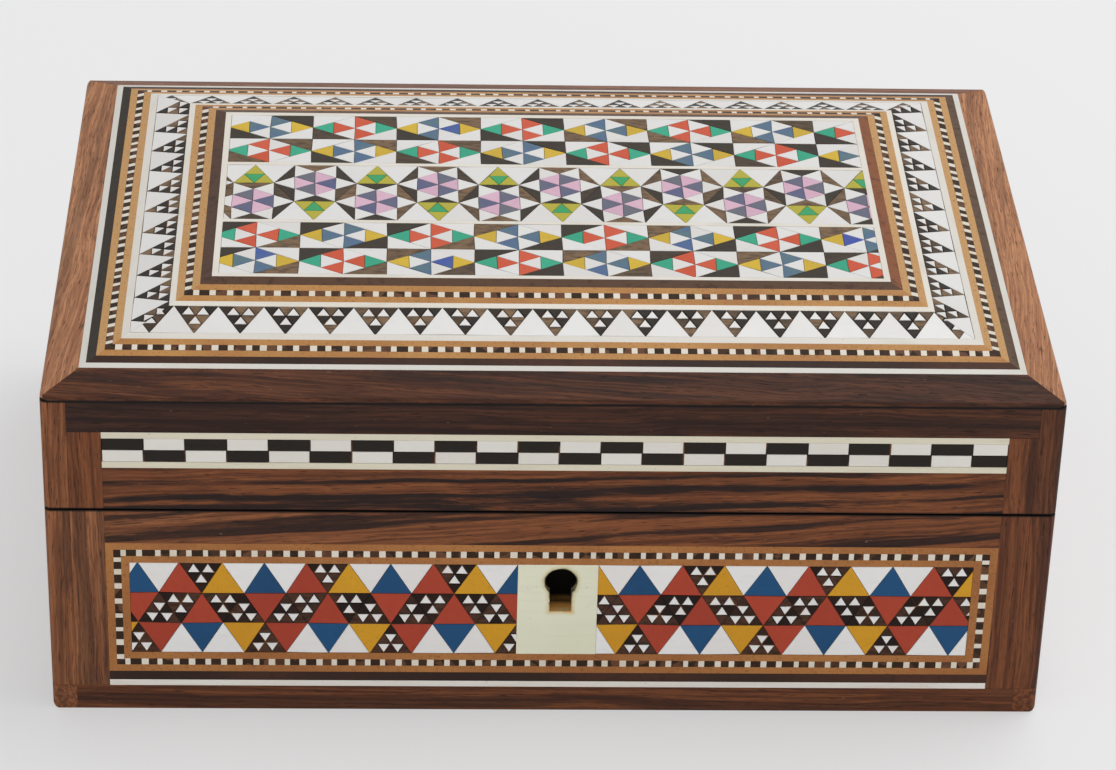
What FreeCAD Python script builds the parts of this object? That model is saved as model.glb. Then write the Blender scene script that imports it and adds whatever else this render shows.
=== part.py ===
"""A small inlaid wooden box with a hinged lid and a lock.

Softwood carcass boards carry rosewood veneers, bone and ebony lines, bandings and a
mosaic of triangular tesserae. Two brass butt hinges and a hook lock join lid and base.
Frame: +Z up, front face towards -Y, origin at the centre of the underside, millimetres.
"""
import FreeCAD
import Part
import math
import os

Vec = FreeCAD.Vector

# Carcass and overall size
box_width = 160.0
box_depth = 108.0
base_height = 38.2
seam_gap = 0.25
lid_wall_height = 19.75
board = 6.0
bottom_board = 4.0
top_board_edge = 3.0
veneer = 1.2
corner_bevel = 0.8
moulding_bevel = 0.3
lining = 0.8
lining_setback = 1.5

# Wall veneers and inlay, counted up from the underside
corner_strip = 4.0
stile_width = 5.0
foot_rail = 4.6
foot_bone_line = 1.1
foot_ebony_line = 1.7
banding_wood = 1.25
banding_core = 1.2
top_rail = 6.15
mosaic_rows = 3
triangle_pitch = 6.72
left_strip_start = 1.25
front_shift = 0.35
lid_lower_rail = 7.7
checker_line = 1.1
checker_row = 2.15
checker_pitch = 6.495

# Keyhole plate
escutcheon_width = 12.8
escutcheon_x = 1.2
keyhole_x = 1.7
keyhole_drop = 13.2
keyhole_radius = 2.6
keyhole_slot = 3.5
keyhole_slot_drop = 5.6

# Sloping lid border, widths in plan from the outside in
moulding_width = 5.8
moulding_edge = 0.7
moulding_rise = 2.0
border_rise = 5.2
outer_bone_line = 1.05
outer_ebony_line = 1.5
border_bone_line = 1.25
border_triangle = 5.9
border_pitch = 7.1
front_border_shift = 3.8
right_border_shift = 5.3
back_border_shift = 4.0
left_border_shift = 4.9
inner_bone_line = 1.0
inner_ebony_line = 1.8
inlay = 1.2

# Flat middle panel of the lid
panel_line = 1.0
row_line = 0.9
front_lozenge_width = 14.15
back_lozenge_width = 14.27
lozenge_height = 8.5
front_lozenge_start = 1.45
back_lozenge_start = 0.35
star_half_width = 6.78
star_start = 4.6

# Butt hinges in a V groove along the back
lid_opening = 100.0
opening_spare = 1.0
hinge_inset = 2.4
hinge_spacing = 92.0
hinge_length = 20.0
knuckle_radius = 1.5
middle_knuckle = 7.0
knuckle_gap = 0.12
hinge_pin_radius = 0.6
pin_clearance = 0.05
leaf_width = 4.2
leaf_thickness = 0.8
hinge_clearance = 0.2

# Hook lock let into the front board
lock_plate_width = 34.0
lock_plate_foot = 9.8
lock_plate_thickness = 1.0
lock_depth = 5.0
lock_case_width = 28.0
lock_case_foot = 8.3
lock_wall = 0.6
lock_clearance = 0.1
bolt_travel = 4.0
bolt_thickness = 2.4
bolt_height = 5.2
bolt_rise = 3.4
bolt_tail = 12.0
bolt_clearance = 0.3
tongue_height = 2.5
talon_width = 5.2
talon_depth = 2.0
stump_length = 2.4
stump_height = 1.6
stump_offset = 6.2
spring_thickness = 0.35
spring_width = 1.8
spring_length = 13.0
hook_thickness = 2.0
hook_leg = 2.4
hook_toe_height = 1.8
hook_offset = 10.0
strike_length = 22.0
strike_width = 4.4

# Levels and places that follow from the sizes above
half_width = box_width / 2
half_depth = box_depth / 2
lid_bottom = base_height + seam_gap
moulding_seat = lid_bottom + lid_wall_height
ceiling = moulding_seat - top_board_edge
banding = 2 * banding_wood + banding_core
frame_bottom = foot_rail + foot_bone_line + foot_ebony_line
mosaic_bottom = frame_bottom + banding
frame_top = base_height - top_rail
mosaic_top = frame_top - banding
mosaic_row = (mosaic_top - mosaic_bottom) / mosaic_rows
checker_bottom = lid_bottom + lid_lower_rail
checker_top = checker_bottom + 2 * checker_line + 2 * checker_row
slope_start = moulding_seat + moulding_edge + moulding_rise
border_widths = [outer_bone_line, outer_ebony_line, banding, border_bone_line,
                 border_triangle, inner_bone_line, banding, inner_ebony_line]
panel_inset = moulding_width + sum(border_widths)
panel_top = slope_start + border_rise
front_inner = -half_depth + veneer + board
hinge_y = half_depth - hinge_inset
hinge_z = base_height + seam_gap / 2
groove_angle = math.radians((lid_opening + opening_spare) / 2)
keyhole_z = base_height - keyhole_drop
hook_x = keyhole_x + hook_offset
smallest_tessera = 0.15
cut_margin = 1.0

nodes = {}


def add(name, *solids):
    """Puts solids into the named node."""
    nodes.setdefault(name, []).extend(solids)


# Shapes shared by many pieces


def block(x0, x1, y0, y1, z0, z1):
    return Part.makeBox(x1 - x0, y1 - y0, z1 - z0, Vec(x0, y0, z0))


def polygon_face(points):
    return Part.Face(Part.makePolygon(list(points) + [points[0]]))


def solid_of(faces):
    """A closed solid from flat polygons, turned so that its volume is positive."""
    solid = Part.Solid(Part.Shell([polygon_face(points) for points in faces]))
    if solid.Volume < 0:
        solid.reverse()
    return solid


def bevelled(solid, size, wanted):
    """The solid with a bevel on the straight edges whose middle point passes the test."""
    edges = [edge for edge in solid.Edges if wanted(edge.CenterOfMass)]
    return solid.makeChamfer(size, edges) if edges else solid


def near(value, target):
    return abs(value - target) < 1e-4


# Flat layouts: a tile is a colour and a convex outline in two dimensions


def clipped(points, normal, limit):
    """The part of a convex outline where its dot product with normal is at most limit."""
    kept = []
    for index, (px, py) in enumerate(points):
        qx, qy = points[index - 1]
        p_side = px * normal[0] + py * normal[1] - limit
        q_side = qx * normal[0] + qy * normal[1] - limit
        if (p_side > 0) != (q_side > 0):
            share = q_side / (q_side - p_side)
            kept.append((qx + share * (px - qx), qy + share * (py - qy)))
        if p_side <= 0:
            kept.append((px, py))
    return kept


def area(points):
    return abs(sum(points[i - 1][0] * p[1] - p[0] * points[i - 1][1]
                   for i, p in enumerate(points))) / 2


def trimmed(tiles, edges):
    """Tiles cut to a convex region, each edge a normal and a limit, without slivers."""
    result = []
    for colour, points in tiles:
        for normal, limit in edges:
            points = clipped(points, normal, limit) if points else points
        if len(points) > 2 and area(points) > smallest_tessera:
            result.append((colour, points))
    return result


def rectangle_edges(u0, u1, v0, v1):
    return [((-1, 0), -u0), ((1, 0), u1), ((0, -1), -v0), ((0, 1), v1)]


def rectangle(u0, u1, v0, v1):
    return [(u0, v0), (u1, v0), (u1, v1), (u0, v1)]


def mitred_frame(u0, u1, v0, v1, width):
    """Four mitred strips just inside a rectangle."""
    a, b, c, d = u0 + width, u1 - width, v0 + width, v1 - width
    return [[(u0, v0), (u1, v0), (b, c), (a, c)], [(u1, v0), (u1, v1), (b, d), (b, c)],
            [(u1, v1), (u0, v1), (a, d), (b, d)], [(u0, v1), (u0, v0), (a, c), (a, d)]]


def triangle_mosaic(u0, u1, first_apex):
    """Rows of equal triangles, every third row and column the same, cut to u0 and u1."""
    columns = [("blue", "red", "yellow"), ("red", "ebony", "ebony"),
               ("ebony", "pearl", "pearl")]
    between = [("pearl", "ebony", "pearl"), ("ebony", "red", "ebony"),
               ("red", "blue", "yellow")]
    tiles = []
    half = triangle_pitch / 2
    for row in range(mosaic_rows):
        high = mosaic_top - row * mosaic_row
        low = high - mosaic_row
        base, apex = (low, high) if row % 2 == 0 else (high, low)
        for column in range(-3, int((u1 - u0) / triangle_pitch) + 4):
            x = first_apex + column * triangle_pitch
            tiles.append((columns[row % 3][column % 3],
                          [(x, apex), (x - half, base), (x + half, base)]))
            tiles.append((between[row % 3][column % 3],
                          [(x, apex), (x + half, base), (x + 2 * half, apex)]))
    return trimmed(tiles, rectangle_edges(u0, u1, mosaic_bottom, mosaic_top))


def lozenge_cell(x, y, w, tip, wheel, pearl_first, wheel_first):
    """A lozenge in a rectangle: two tips, a six-piece wheel and four corners."""
    h = lozenge_height
    corners = ["pearl", "ebony"] if pearl_first else ["ebony", "pearl"]
    left, right = (x, y + h / 2), (x + w, y + h / 2)
    low, high = (x + w / 2, y), (x + w / 2, y + h)
    tiles = [(corners[0], [left, (x, y + h), high]), (corners[1], [high, (x + w, y + h), right]),
             (corners[1], [low, (x, y), left]), (corners[0], [right, (x + w, y), low])]
    rim = [(x + w / 4, y + 3 * h / 4), (x + w / 4, y + h / 4), low, (x + 3 * w / 4, y + h / 4),
            (x + 3 * w / 4, y + 3 * h / 4), high]
    tiles += [(tip, [left, rim[1], rim[0]]), (tip, [right, rim[4], rim[3]])]
    spokes = [wheel, "pearl"] if wheel_first else ["pearl", wheel]
    for index in range(6):
        tiles.append((spokes[index % 2],
                      [(x + w / 2, y + h / 2), rim[index], rim[(index + 1) % 6]]))
    return tiles


def star_hexagon(x, y, half_height, pink_first):
    """A six-pointed star in a hexagon, with a pink and slate wheel at its heart."""
    a, h = star_half_width, half_height
    points = [(x + a, y), (x + a / 2, y + h), (x - a / 2, y + h),
              (x - a, y), (x - a / 2, y - h), (x + a / 2, y - h)]
    heart = [(x + a / 2, y + h / 3), (x, y + 2 * h / 3), (x - a / 2, y + h / 3),
             (x - a / 2, y - h / 3), (x, y - 2 * h / 3), (x + a / 2, y - h / 3)]
    spokes = ["pink", "slate"] if pink_first else ["slate", "pink"]
    tiles = []
    for i in range(6):
        tiles.append(("ebony", [points[i], points[(i + 1) % 6], heart[i]]))
        tiles.append(("pearl", [points[i], heart[i], heart[i - 1]]))
        tiles.append((spokes[i % 2], [(x, y), heart[i - 1], heart[i]]))
    return tiles


def star_gap(x, y, rise):
    """The three triangles beside a hexagon: a yellow one set with green, two of pearl."""
    a = star_half_width
    foot, tip = (x - a / 2, y), (x, y + rise)
    heel = (x + a / 2, y)
    mid = [(x - a / 4, y + rise / 2), (x + a / 4, y + rise / 2), (x, y)]
    return [("pearl", [foot, tip, (x - a, y + rise)]), ("pearl", [heel, (x + a, y + rise), tip]),
            ("yellow", [foot, mid[2], mid[0]]), ("yellow", [mid[2], heel, mid[1]]),
            ("yellow", [mid[0], mid[1], tip]), ("green", [mid[2], mid[1], mid[0]])]


# Sides of the box: a direction along the edge, one inwards, and the half sizes


class Side:
    def __init__(self, name, along, inward, half, reach):
        self.name = name
        self.along = Vec(*along, 0)
        self.inward = Vec(*inward, 0)
        self.half = half
        self.reach = reach

    def at(self, u, inset, z):
        """The point u along the edge, inset from the outer face, at height z."""
        return self.along * u + self.inward * (inset - self.reach) + Vec(0, 0, z)

    def mitred_bar(self, section):
        """A bar of constant section, outlined as (inset, z), with ends mitred at the corners."""
        ends = [[self.at(end * (self.half - inset), inset, z) for inset, z in section]
                for end in (-1, 1)]
        count = len(section)
        faces = [[ends[0][i], ends[0][(i + 1) % count], ends[1][(i + 1) % count], ends[1][i]]
                 for i in range(count)]
        return solid_of(faces + ends)

    def wall_piece(self, points, thickness):
        """A flat outline (u, z) on the outer face, cut through the given thickness."""
        return polygon_face([self.at(u, 0, z) for u, z in points]).extrude(self.inward * thickness)


front = Side("front", (1, 0), (0, 1), half_width, half_depth)
right = Side("right", (0, 1), (-1, 0), half_depth, half_width)
back = Side("back", (-1, 0), (0, -1), half_width, half_depth)
left = Side("left", (0, -1), (1, 0), half_depth, half_width)
ring = [front, right, back, left]


def veneer_half(side):
    """Half the length of a wall's veneer: the front and back sheets cover the side ones."""
    return side.half if side in (front, back) else side.half - veneer


# Tools that shape several pieces


def groove(up):
    """The wedge cut away behind the hinge line, so that the lid can lean back."""
    reach = hinge_inset + cut_margin
    rise = (1 if up else -1) * reach * math.tan(groove_angle)
    points = [Vec(-half_width - cut_margin, hinge_y, hinge_z),
              Vec(-half_width - cut_margin, hinge_y + reach, hinge_z),
              Vec(-half_width - cut_margin, hinge_y + reach, hinge_z + rise)]
    return polygon_face(points).extrude(Vec(box_width + 2 * cut_margin, 0, 0))


def hinge_centres():
    return [-hinge_spacing / 2, hinge_spacing / 2]


def along_hinge(radius, x0, x1):
    """A round bar on the hinge line."""
    return Part.makeCylinder(radius, x1 - x0, Vec(x0, hinge_y, hinge_z), Vec(1, 0, 0))


def hinge_pocket(x, up):
    """Room for one hinge: its leaf let in flush, and its barrel."""
    half = hinge_length / 2 + pin_clearance
    low = lid_bottom if up else base_height - leaf_thickness
    leaf = block(x - half, x + half, hinge_y - leaf_width, hinge_y, low, low + leaf_thickness)
    return leaf.fuse(along_hinge(knuckle_radius + hinge_clearance, x - half, x + half))


def keyhole(y0, y1):
    """The keyhole's shape between two depths: a round hole with a slot below."""
    half = keyhole_slot / 2
    hole = Part.makeCylinder(keyhole_radius, y1 - y0, Vec(keyhole_x, y0, keyhole_z), Vec(0, 1, 0))
    slot = block(keyhole_x - half, keyhole_x + half, y0, y1, keyhole_z - keyhole_slot_drop, keyhole_z)
    return hole.fuse(slot)


def wall_boards(low, high, rebate_low, rebate_high, cutters):
    """Four carcass boards with lapped corners and a rebate for a bottom or a top board."""
    lap = board / 2
    x1, y1 = half_width - veneer, half_depth - veneer
    rebate = block(lap - x1, x1 - lap, lap - y1, y1 - lap, rebate_low, rebate_high)
    made = {}
    for sign, name in ((-1, "front"), (1, "back")):
        inner, outer = sorted((sign * (y1 - board), sign * y1))
        piece = block(-x1, x1, inner, outer, low, high)
        lap_inner, lap_outer = sorted((sign * (y1 - board), sign * (y1 - lap)))
        for end in (-1, 1):
            a, b = sorted((end * (x1 - board), end * x1))
            piece = piece.cut(block(a, b, lap_inner, lap_outer, low, high))
        made[name] = piece
    for sign, name in ((-1, "left"), (1, "right")):
        inner, outer = sorted((sign * (x1 - board), sign * x1))
        made[name] = block(inner, outer, lap - y1, y1 - lap, low, high)
    for name in made:
        for cutter in [rebate] + cutters.get(name, []):
            made[name] = made[name].cut(cutter)
        made[name] = made[name].removeSplitter()
    return made


# Base carcass


def make_base_carcass():
    plate_half = lock_plate_width / 2 + lock_clearance
    case_half = lock_case_width / 2 + lock_clearance
    top = base_height + cut_margin
    plate_low = keyhole_z - lock_plate_foot - lock_clearance
    case_low = keyhole_z - lock_case_foot - lock_clearance
    lock_room = [
        block(keyhole_x - plate_half, keyhole_x + plate_half, front_inner - lock_plate_thickness,
              front_inner + cut_margin, plate_low, top),
        block(keyhole_x - plate_half, keyhole_x + plate_half, front_inner - lock_depth,
              front_inner, base_height - lock_plate_thickness, top),
        block(keyhole_x - case_half, keyhole_x + case_half, front_inner - lock_depth,
              front_inner, case_low, top),
        keyhole(-half_depth, front_inner - lock_depth)]
    hinge_room = [groove(False)] + [hinge_pocket(x, False) for x in hinge_centres()]
    boards = wall_boards(0, base_height, -cut_margin, bottom_board,
                         {"front": lock_room, "back": hinge_room})
    for name, piece in boards.items():
        add(f"base_{name}_board", piece)
    x1, y1 = half_width - veneer - board / 2, half_depth - veneer - board / 2
    add("base_bottom_board", block(-x1, x1, -y1, y1, 0, bottom_board))


# Lid carcass


def make_lid_carcass():
    strike_room = [strike_block(lock_clearance)]
    hinge_room = [groove(True)] + [hinge_pocket(x, True) for x in hinge_centres()]
    boards = wall_boards(lid_bottom, moulding_seat, ceiling, moulding_seat + cut_margin,
                         {"front": strike_room, "back": hinge_room})
    for name, piece in boards.items():
        add(f"lid_{name}_board", piece)
    lap = veneer + board / 2
    slab = block(lap - half_width, half_width - lap, lap - half_depth, half_depth - lap,
                 ceiling, moulding_seat)
    step = block(moulding_width - half_width, half_width - moulding_width,
                 moulding_width - half_depth, half_depth - moulding_width,
                 moulding_seat - cut_margin, slope_start - inlay)
    add("lid_top_board", slab.fuse([step, hipped_core()]).removeSplitter())


def hipped_core():
    """The raised middle of the top board: sloping sides and a flat top, under the inlay."""
    corners = {}
    for level, inset, z in (("low", moulding_width, slope_start - inlay),
                            ("high", panel_inset, panel_top - inlay)):
        x, y = half_width - inset, half_depth - inset
        corners[level] = [Vec(-x, -y, z), Vec(x, -y, z), Vec(x, y, z), Vec(-x, y, z)]
    low, high = corners["low"], corners["high"]
    sides = [[low[i], low[(i + 1) % 4], high[(i + 1) % 4], high[i]] for i in range(4)]
    return solid_of(sides + [low, high])


# Wall veneers and inlay


def wall_veneer(name, side, points):
    """One rosewood piece of a wall, bevelled at the box's ends and clear of the hinges."""
    solid = side.wall_piece(points, veneer)
    foot = 0 if points[0][1] < base_height else lid_bottom

    def at_end(point):
        upright = near(abs(point.x), half_width) and near(abs(point.y), half_depth)
        return upright or (near(abs(point.x), half_width) and near(point.z, foot))

    solid = bevelled(solid, corner_bevel, at_end)
    if side is not front:
        for cutter in [groove(foot > 0)] + [hinge_pocket(x, foot > 0) for x in hinge_centres()]:
            solid = solid.cut(cutter)
    add(name, solid)


def inlay_range(side):
    """The stretch of a wall between its stiles; on the front it sits a little to the right."""
    inner = veneer_half(side) - corner_strip - stile_width
    shift = front_shift if side is front else 0.0
    return shift - inner, shift + inner


def base_wall(side):
    """A base wall: strips, stiles, rails and lines, and a mosaic inside a banding frame."""
    half = veneer_half(side)
    span = half - corner_strip
    u0, u1 = inlay_range(side)
    for a, b in ((-half, -span), (span, half)):
        wall_veneer("base_corner_strips", side, rectangle(a, b, 0, base_height))
    for a, b in ((-span, u0), (u1, span)):
        wall_veneer("base_stiles", side, rectangle(a, b, foot_rail, base_height))
    wall_veneer("base_rails", side, rectangle(-span, span, 0, foot_rail))
    wall_veneer("base_rails", side, rectangle(u0, u1, frame_top, base_height))
    bone_top = foot_rail + foot_bone_line
    add("base_bone_lines", side.wall_piece(rectangle(u0, u1, foot_rail, bone_top), veneer))
    add("base_ebony_lines", side.wall_piece(rectangle(u0, u1, bone_top, frame_bottom), veneer))
    depth = 0.0
    for name, width in (("base_banding_wood", banding_wood), ("base_banding_core", banding_core),
                        ("base_banding_wood", banding_wood)):
        low, high = frame_bottom + depth, frame_top - depth
        for strip in mitred_frame(u0 + depth, u1 - depth, low, high, width):
            add(name, side.wall_piece(strip, veneer))
        depth += width
    u0, u1 = u0 + banding, u1 - banding
    if side is front:
        plate_left = escutcheon_x - escutcheon_width / 2
        plate_right = plate_left + escutcheon_width
        tiles = triangle_mosaic(u0, plate_left, u0 + left_strip_start)
        tiles += triangle_mosaic(plate_right, u1, plate_right + triangle_pitch)
    else:
        tiles = triangle_mosaic(u0, u1, u0 + left_strip_start)
    for colour, points in tiles:
        add(f"base_mosaic_{colour}", side.wall_piece(points, veneer))


def lid_wall(side):
    """A lid wall: strips, stiles and rails, and a checkered band between bone lines."""
    half = veneer_half(side)
    span = half - corner_strip
    u0, u1 = inlay_range(side)
    for a, b in ((-half, -span), (span, half)):
        wall_veneer("lid_corner_strips", side, rectangle(a, b, lid_bottom, moulding_seat))
    for a, b in ((-span, u0), (u1, span)):
        wall_veneer("lid_stiles", side, rectangle(a, b, lid_bottom, checker_top))
    wall_veneer("lid_rails", side, rectangle(u0, u1, lid_bottom, checker_bottom))
    wall_veneer("lid_rails", side, rectangle(-span, span, checker_top, moulding_seat))
    for low in (checker_bottom, checker_top - checker_line):
        add("lid_bone_lines", side.wall_piece(rectangle(u0, u1, low, low + checker_line), veneer))
    for row in range(2):
        low = checker_bottom + checker_line + row * checker_row
        high = low + checker_row
        bars = []
        for column in range(math.ceil((u1 - u0) / checker_pitch)):
            u = u0 + column * checker_pitch
            colour = "ebony" if (row + column) % 2 else "pearl"
            bars.append((colour, rectangle(u, u + checker_pitch, low, high)))
        for colour, points in trimmed(bars, rectangle_edges(u0, u1, low, high)):
            add(f"lid_checker_{colour}", side.wall_piece(points, veneer))


def back_sheets():
    """The plain rosewood sheets on the back of base and lid."""
    wall_veneer("base_back_veneer", back, rectangle(-half_width, half_width, 0, base_height))
    wall_veneer("lid_back_veneer", back, rectangle(-half_width, half_width, lid_bottom, moulding_seat))


def make_escutcheon():
    left_edge = escutcheon_x - escutcheon_width / 2
    points = rectangle(left_edge, left_edge + escutcheon_width, mosaic_bottom, mosaic_top)
    plate = front.wall_piece(points, veneer)
    add("escutcheon", plate.cut(keyhole(-half_depth - cut_margin, front_inner)))


# Top of the lid


def slope_level(inset):
    """Height of the sloping border's surface at an inset from the box's edge."""
    return slope_start + border_rise * (inset - moulding_width) / (panel_inset - moulding_width)


def make_mouldings():
    crown = moulding_seat + moulding_edge
    section = [(0, moulding_seat), (moulding_width, moulding_seat),
               (moulding_width, slope_start), (0, crown)]
    for side in ring:
        bar = side.mitred_bar(section)
        add(f"lid_moulding_{side.name}", bevelled(bar, moulding_bevel, lambda p: near(p.z, crown)))


def make_border():
    """The strips and triangles that lie on the sloping border, from the outside in."""
    inset = moulding_width
    strips = [("lid_bone_lines", outer_bone_line), ("lid_ebony_lines", outer_ebony_line),
              ("lid_banding_wood", banding_wood), ("lid_banding_core", banding_core),
              ("lid_banding_wood", banding_wood), ("lid_bone_lines", border_bone_line),
              ("triangles", border_triangle), ("lid_bone_lines", inner_bone_line),
              ("lid_banding_wood", banding_wood), ("lid_banding_core", banding_core),
              ("lid_banding_wood", banding_wood), ("lid_ebony_lines", inner_ebony_line)]
    for name, width in strips:
        if name == "triangles":
            make_border_triangles(inset, inset + width)
        else:
            high, low = slope_level(inset + width), slope_level(inset)
            section = [(inset, low - inlay), (inset + width, high - inlay),
                       (inset + width, high), (inset, low)]
            for side in ring:
                add(name, side.mitred_bar(section))
        inset += width


def make_border_triangles(outer, inner):
    """Ebony teeth pointing outwards with pearl ones between, cut at the corner mitres."""
    shifts = (front_border_shift, right_border_shift, back_border_shift, left_border_shift)
    pitch = border_pitch
    for side, shift in zip(ring, shifts):
        reach = math.ceil(side.half / pitch) + 1
        tiles = []
        for step in range(-reach, reach):
            u = shift + step * pitch
            tiles.append(("ebony", [(u, inner), (u + pitch, inner), (u + pitch / 2, outer)]))
            tiles.append(("pearl", [(u + pitch / 2, outer), (u + pitch, inner), (u + 3 * pitch / 2, outer)]))
        mitres = [((1, 1), side.half), ((-1, 1), side.half)]
        for colour, points in trimmed(tiles, mitres):
            face = polygon_face([side.at(u, inset, slope_level(inset)) for u, inset in points])
            add(f"lid_mosaic_{colour}", face.extrude(Vec(0, 0, -inlay)))


def panel_piece(points):
    return polygon_face([Vec(x, y, panel_top) for x, y in points]).extrude(Vec(0, 0, -inlay))


def make_panel():
    """The flat middle: a bone frame round two rows of lozenges and a row of stars."""
    x1, y1 = half_width - panel_inset, half_depth - panel_inset
    for strip in mitred_frame(-x1, x1, -y1, y1, panel_line):
        add("lid_bone_lines", panel_piece(strip))
    x1, y1 = x1 - panel_line, y1 - panel_line
    lozenge_band = 2 * lozenge_height
    star_low, star_high = lozenge_band + row_line - y1, y1 - lozenge_band - row_line
    for low in (star_low - row_line, star_high):
        add("lid_bone_lines", panel_piece(rectangle(-x1, x1, low, low + row_line)))
    gold, rose = ("yellow", "blue"), ("green", "red")
    start, width = -x1 - front_lozenge_start, front_lozenge_width
    tiles = lozenge_row(start, -y1, width, x1, gold, rose, False, "10010011")
    tiles += lozenge_row(start, lozenge_height - y1, width, x1, rose, gold, False, "01101001")
    start, width = -x1 - back_lozenge_start, back_lozenge_width
    tiles += lozenge_row(start, star_high + row_line, width, x1, rose, gold, True, "01110011")
    tiles += lozenge_row(start, y1 - lozenge_height, width, x1, gold, rose, True, "11010001")
    tiles += star_row(star_low, star_high, x1, "000111100000")
    for colour, points in tiles:
        add(f"lid_mosaic_{colour}", panel_piece(points))


def lozenge_row(start, y, width, x1, even, odd, pearl_first, turns):
    """A row of lozenges in two alternating colourings; turns says which wheels are turned."""
    tiles = []
    for index in range(math.ceil((x1 - start) / width)):
        tip, wheel = (even, odd)[index % 2]
        wheel_first = turns[index % len(turns)] == "1"
        tiles += lozenge_cell(start + index * width, y, width, tip, wheel, pearl_first, wheel_first)
    return trimmed(tiles, rectangle_edges(-x1, x1, y, y + lozenge_height))


def star_row(low, high, x1, turns):
    """Star hexagons set alternately low and high; turns says which wheels are turned."""
    half_height = (high - low) / 3
    pitch = 1.5 * star_half_width
    tiles = []
    for index in range(-1, math.ceil((2 * x1 - star_start) / pitch) + 1):
        x = star_start - x1 + index * pitch
        pink_first = turns[index % len(turns)] == "1"
        if index % 2 == 0:
            tiles += star_hexagon(x, low + half_height, half_height, pink_first)
            tiles += star_gap(x, low + 2 * half_height, half_height)
        else:
            tiles += star_hexagon(x, high - half_height, half_height, pink_first)
            tiles += star_gap(x, low + half_height, -half_height)
    return trimmed(tiles, rectangle_edges(-x1, x1, low, high))


# Velvet lining


def lining_walls(low, high, name, notch=None):
    """Four strips of lining on the inner faces of a set of walls."""
    x0, y0 = half_width - veneer - board, half_depth - veneer - board
    x1, y1 = x0 - lining, y0 - lining
    strips = [block(-x0, x0, -y0, -y1, low, high), block(-x0, x0, y1, y0, low, high),
              block(-x0, -x1, -y1, y1, low, high), block(x1, x0, -y1, y1, low, high)]
    add(name, strips[0].cut(notch) if notch else strips[0], *strips[1:])
    return x0, y0


def make_linings():
    floor = bottom_board + lining
    half = lock_plate_width / 2 + lock_clearance
    notch = block(keyhole_x - half, keyhole_x + half, front_inner - cut_margin, front_inner + 2 * lining,
                  keyhole_z - lock_plate_foot - lock_clearance, base_height)
    x0, y0 = lining_walls(floor, base_height - lining_setback, "base_wall_lining", notch)
    add("base_floor_lining", block(-x0, x0, -y0, y0, bottom_board, floor))
    x0, y0 = lining_walls(lid_bottom + lining_setback, ceiling - lining, "lid_wall_lining")
    add("lid_top_lining", block(-x0, x0, -y0, y0, ceiling - lining, ceiling))


# Hinges


def hinge_leaf(x, up):
    """One leaf: the lid's has the middle knuckle, the base's the outer two and the pin."""
    half = hinge_length / 2
    low = lid_bottom if up else base_height - leaf_thickness
    high = low + leaf_thickness
    leaf = block(x - half, x + half, hinge_y - leaf_width, hinge_y, low, high)
    middle = (x - middle_knuckle / 2, x + middle_knuckle / 2)
    outer = [(x - half, middle[0] - knuckle_gap), (middle[1] + knuckle_gap, x + half)]
    own, other = ([middle], outer) if up else (outer, [middle])
    notch = knuckle_radius + hinge_clearance
    for a, b in other:
        leaf = leaf.cut(block(a - knuckle_gap, b + knuckle_gap, hinge_y - notch, hinge_y, low, high))
    for a, b in own:
        leaf = leaf.fuse(along_hinge(knuckle_radius, a, b))
    pin_room = along_hinge(hinge_pin_radius + pin_clearance, *middle)
    pin = along_hinge(hinge_pin_radius, outer[0][1], outer[1][0])
    return (leaf.cut(pin_room) if up else leaf.fuse(pin)).removeSplitter()


def make_hinges():
    for x in hinge_centres():
        add("hinge_base_leaves", hinge_leaf(x, False))
        add("hinge_lid_leaves", hinge_leaf(x, True))


# Lock and strike


def strike_block(clearance):
    """The strike's flat plate, or the room that it is let into."""
    x, y = hook_x - bolt_travel / 2, front_inner - lock_depth / 2
    half, deep = strike_length / 2 + clearance, strike_width / 2 + clearance
    return block(x - half, x + half, y - deep, y + deep, lid_bottom, lid_bottom + lock_plate_thickness)


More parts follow.
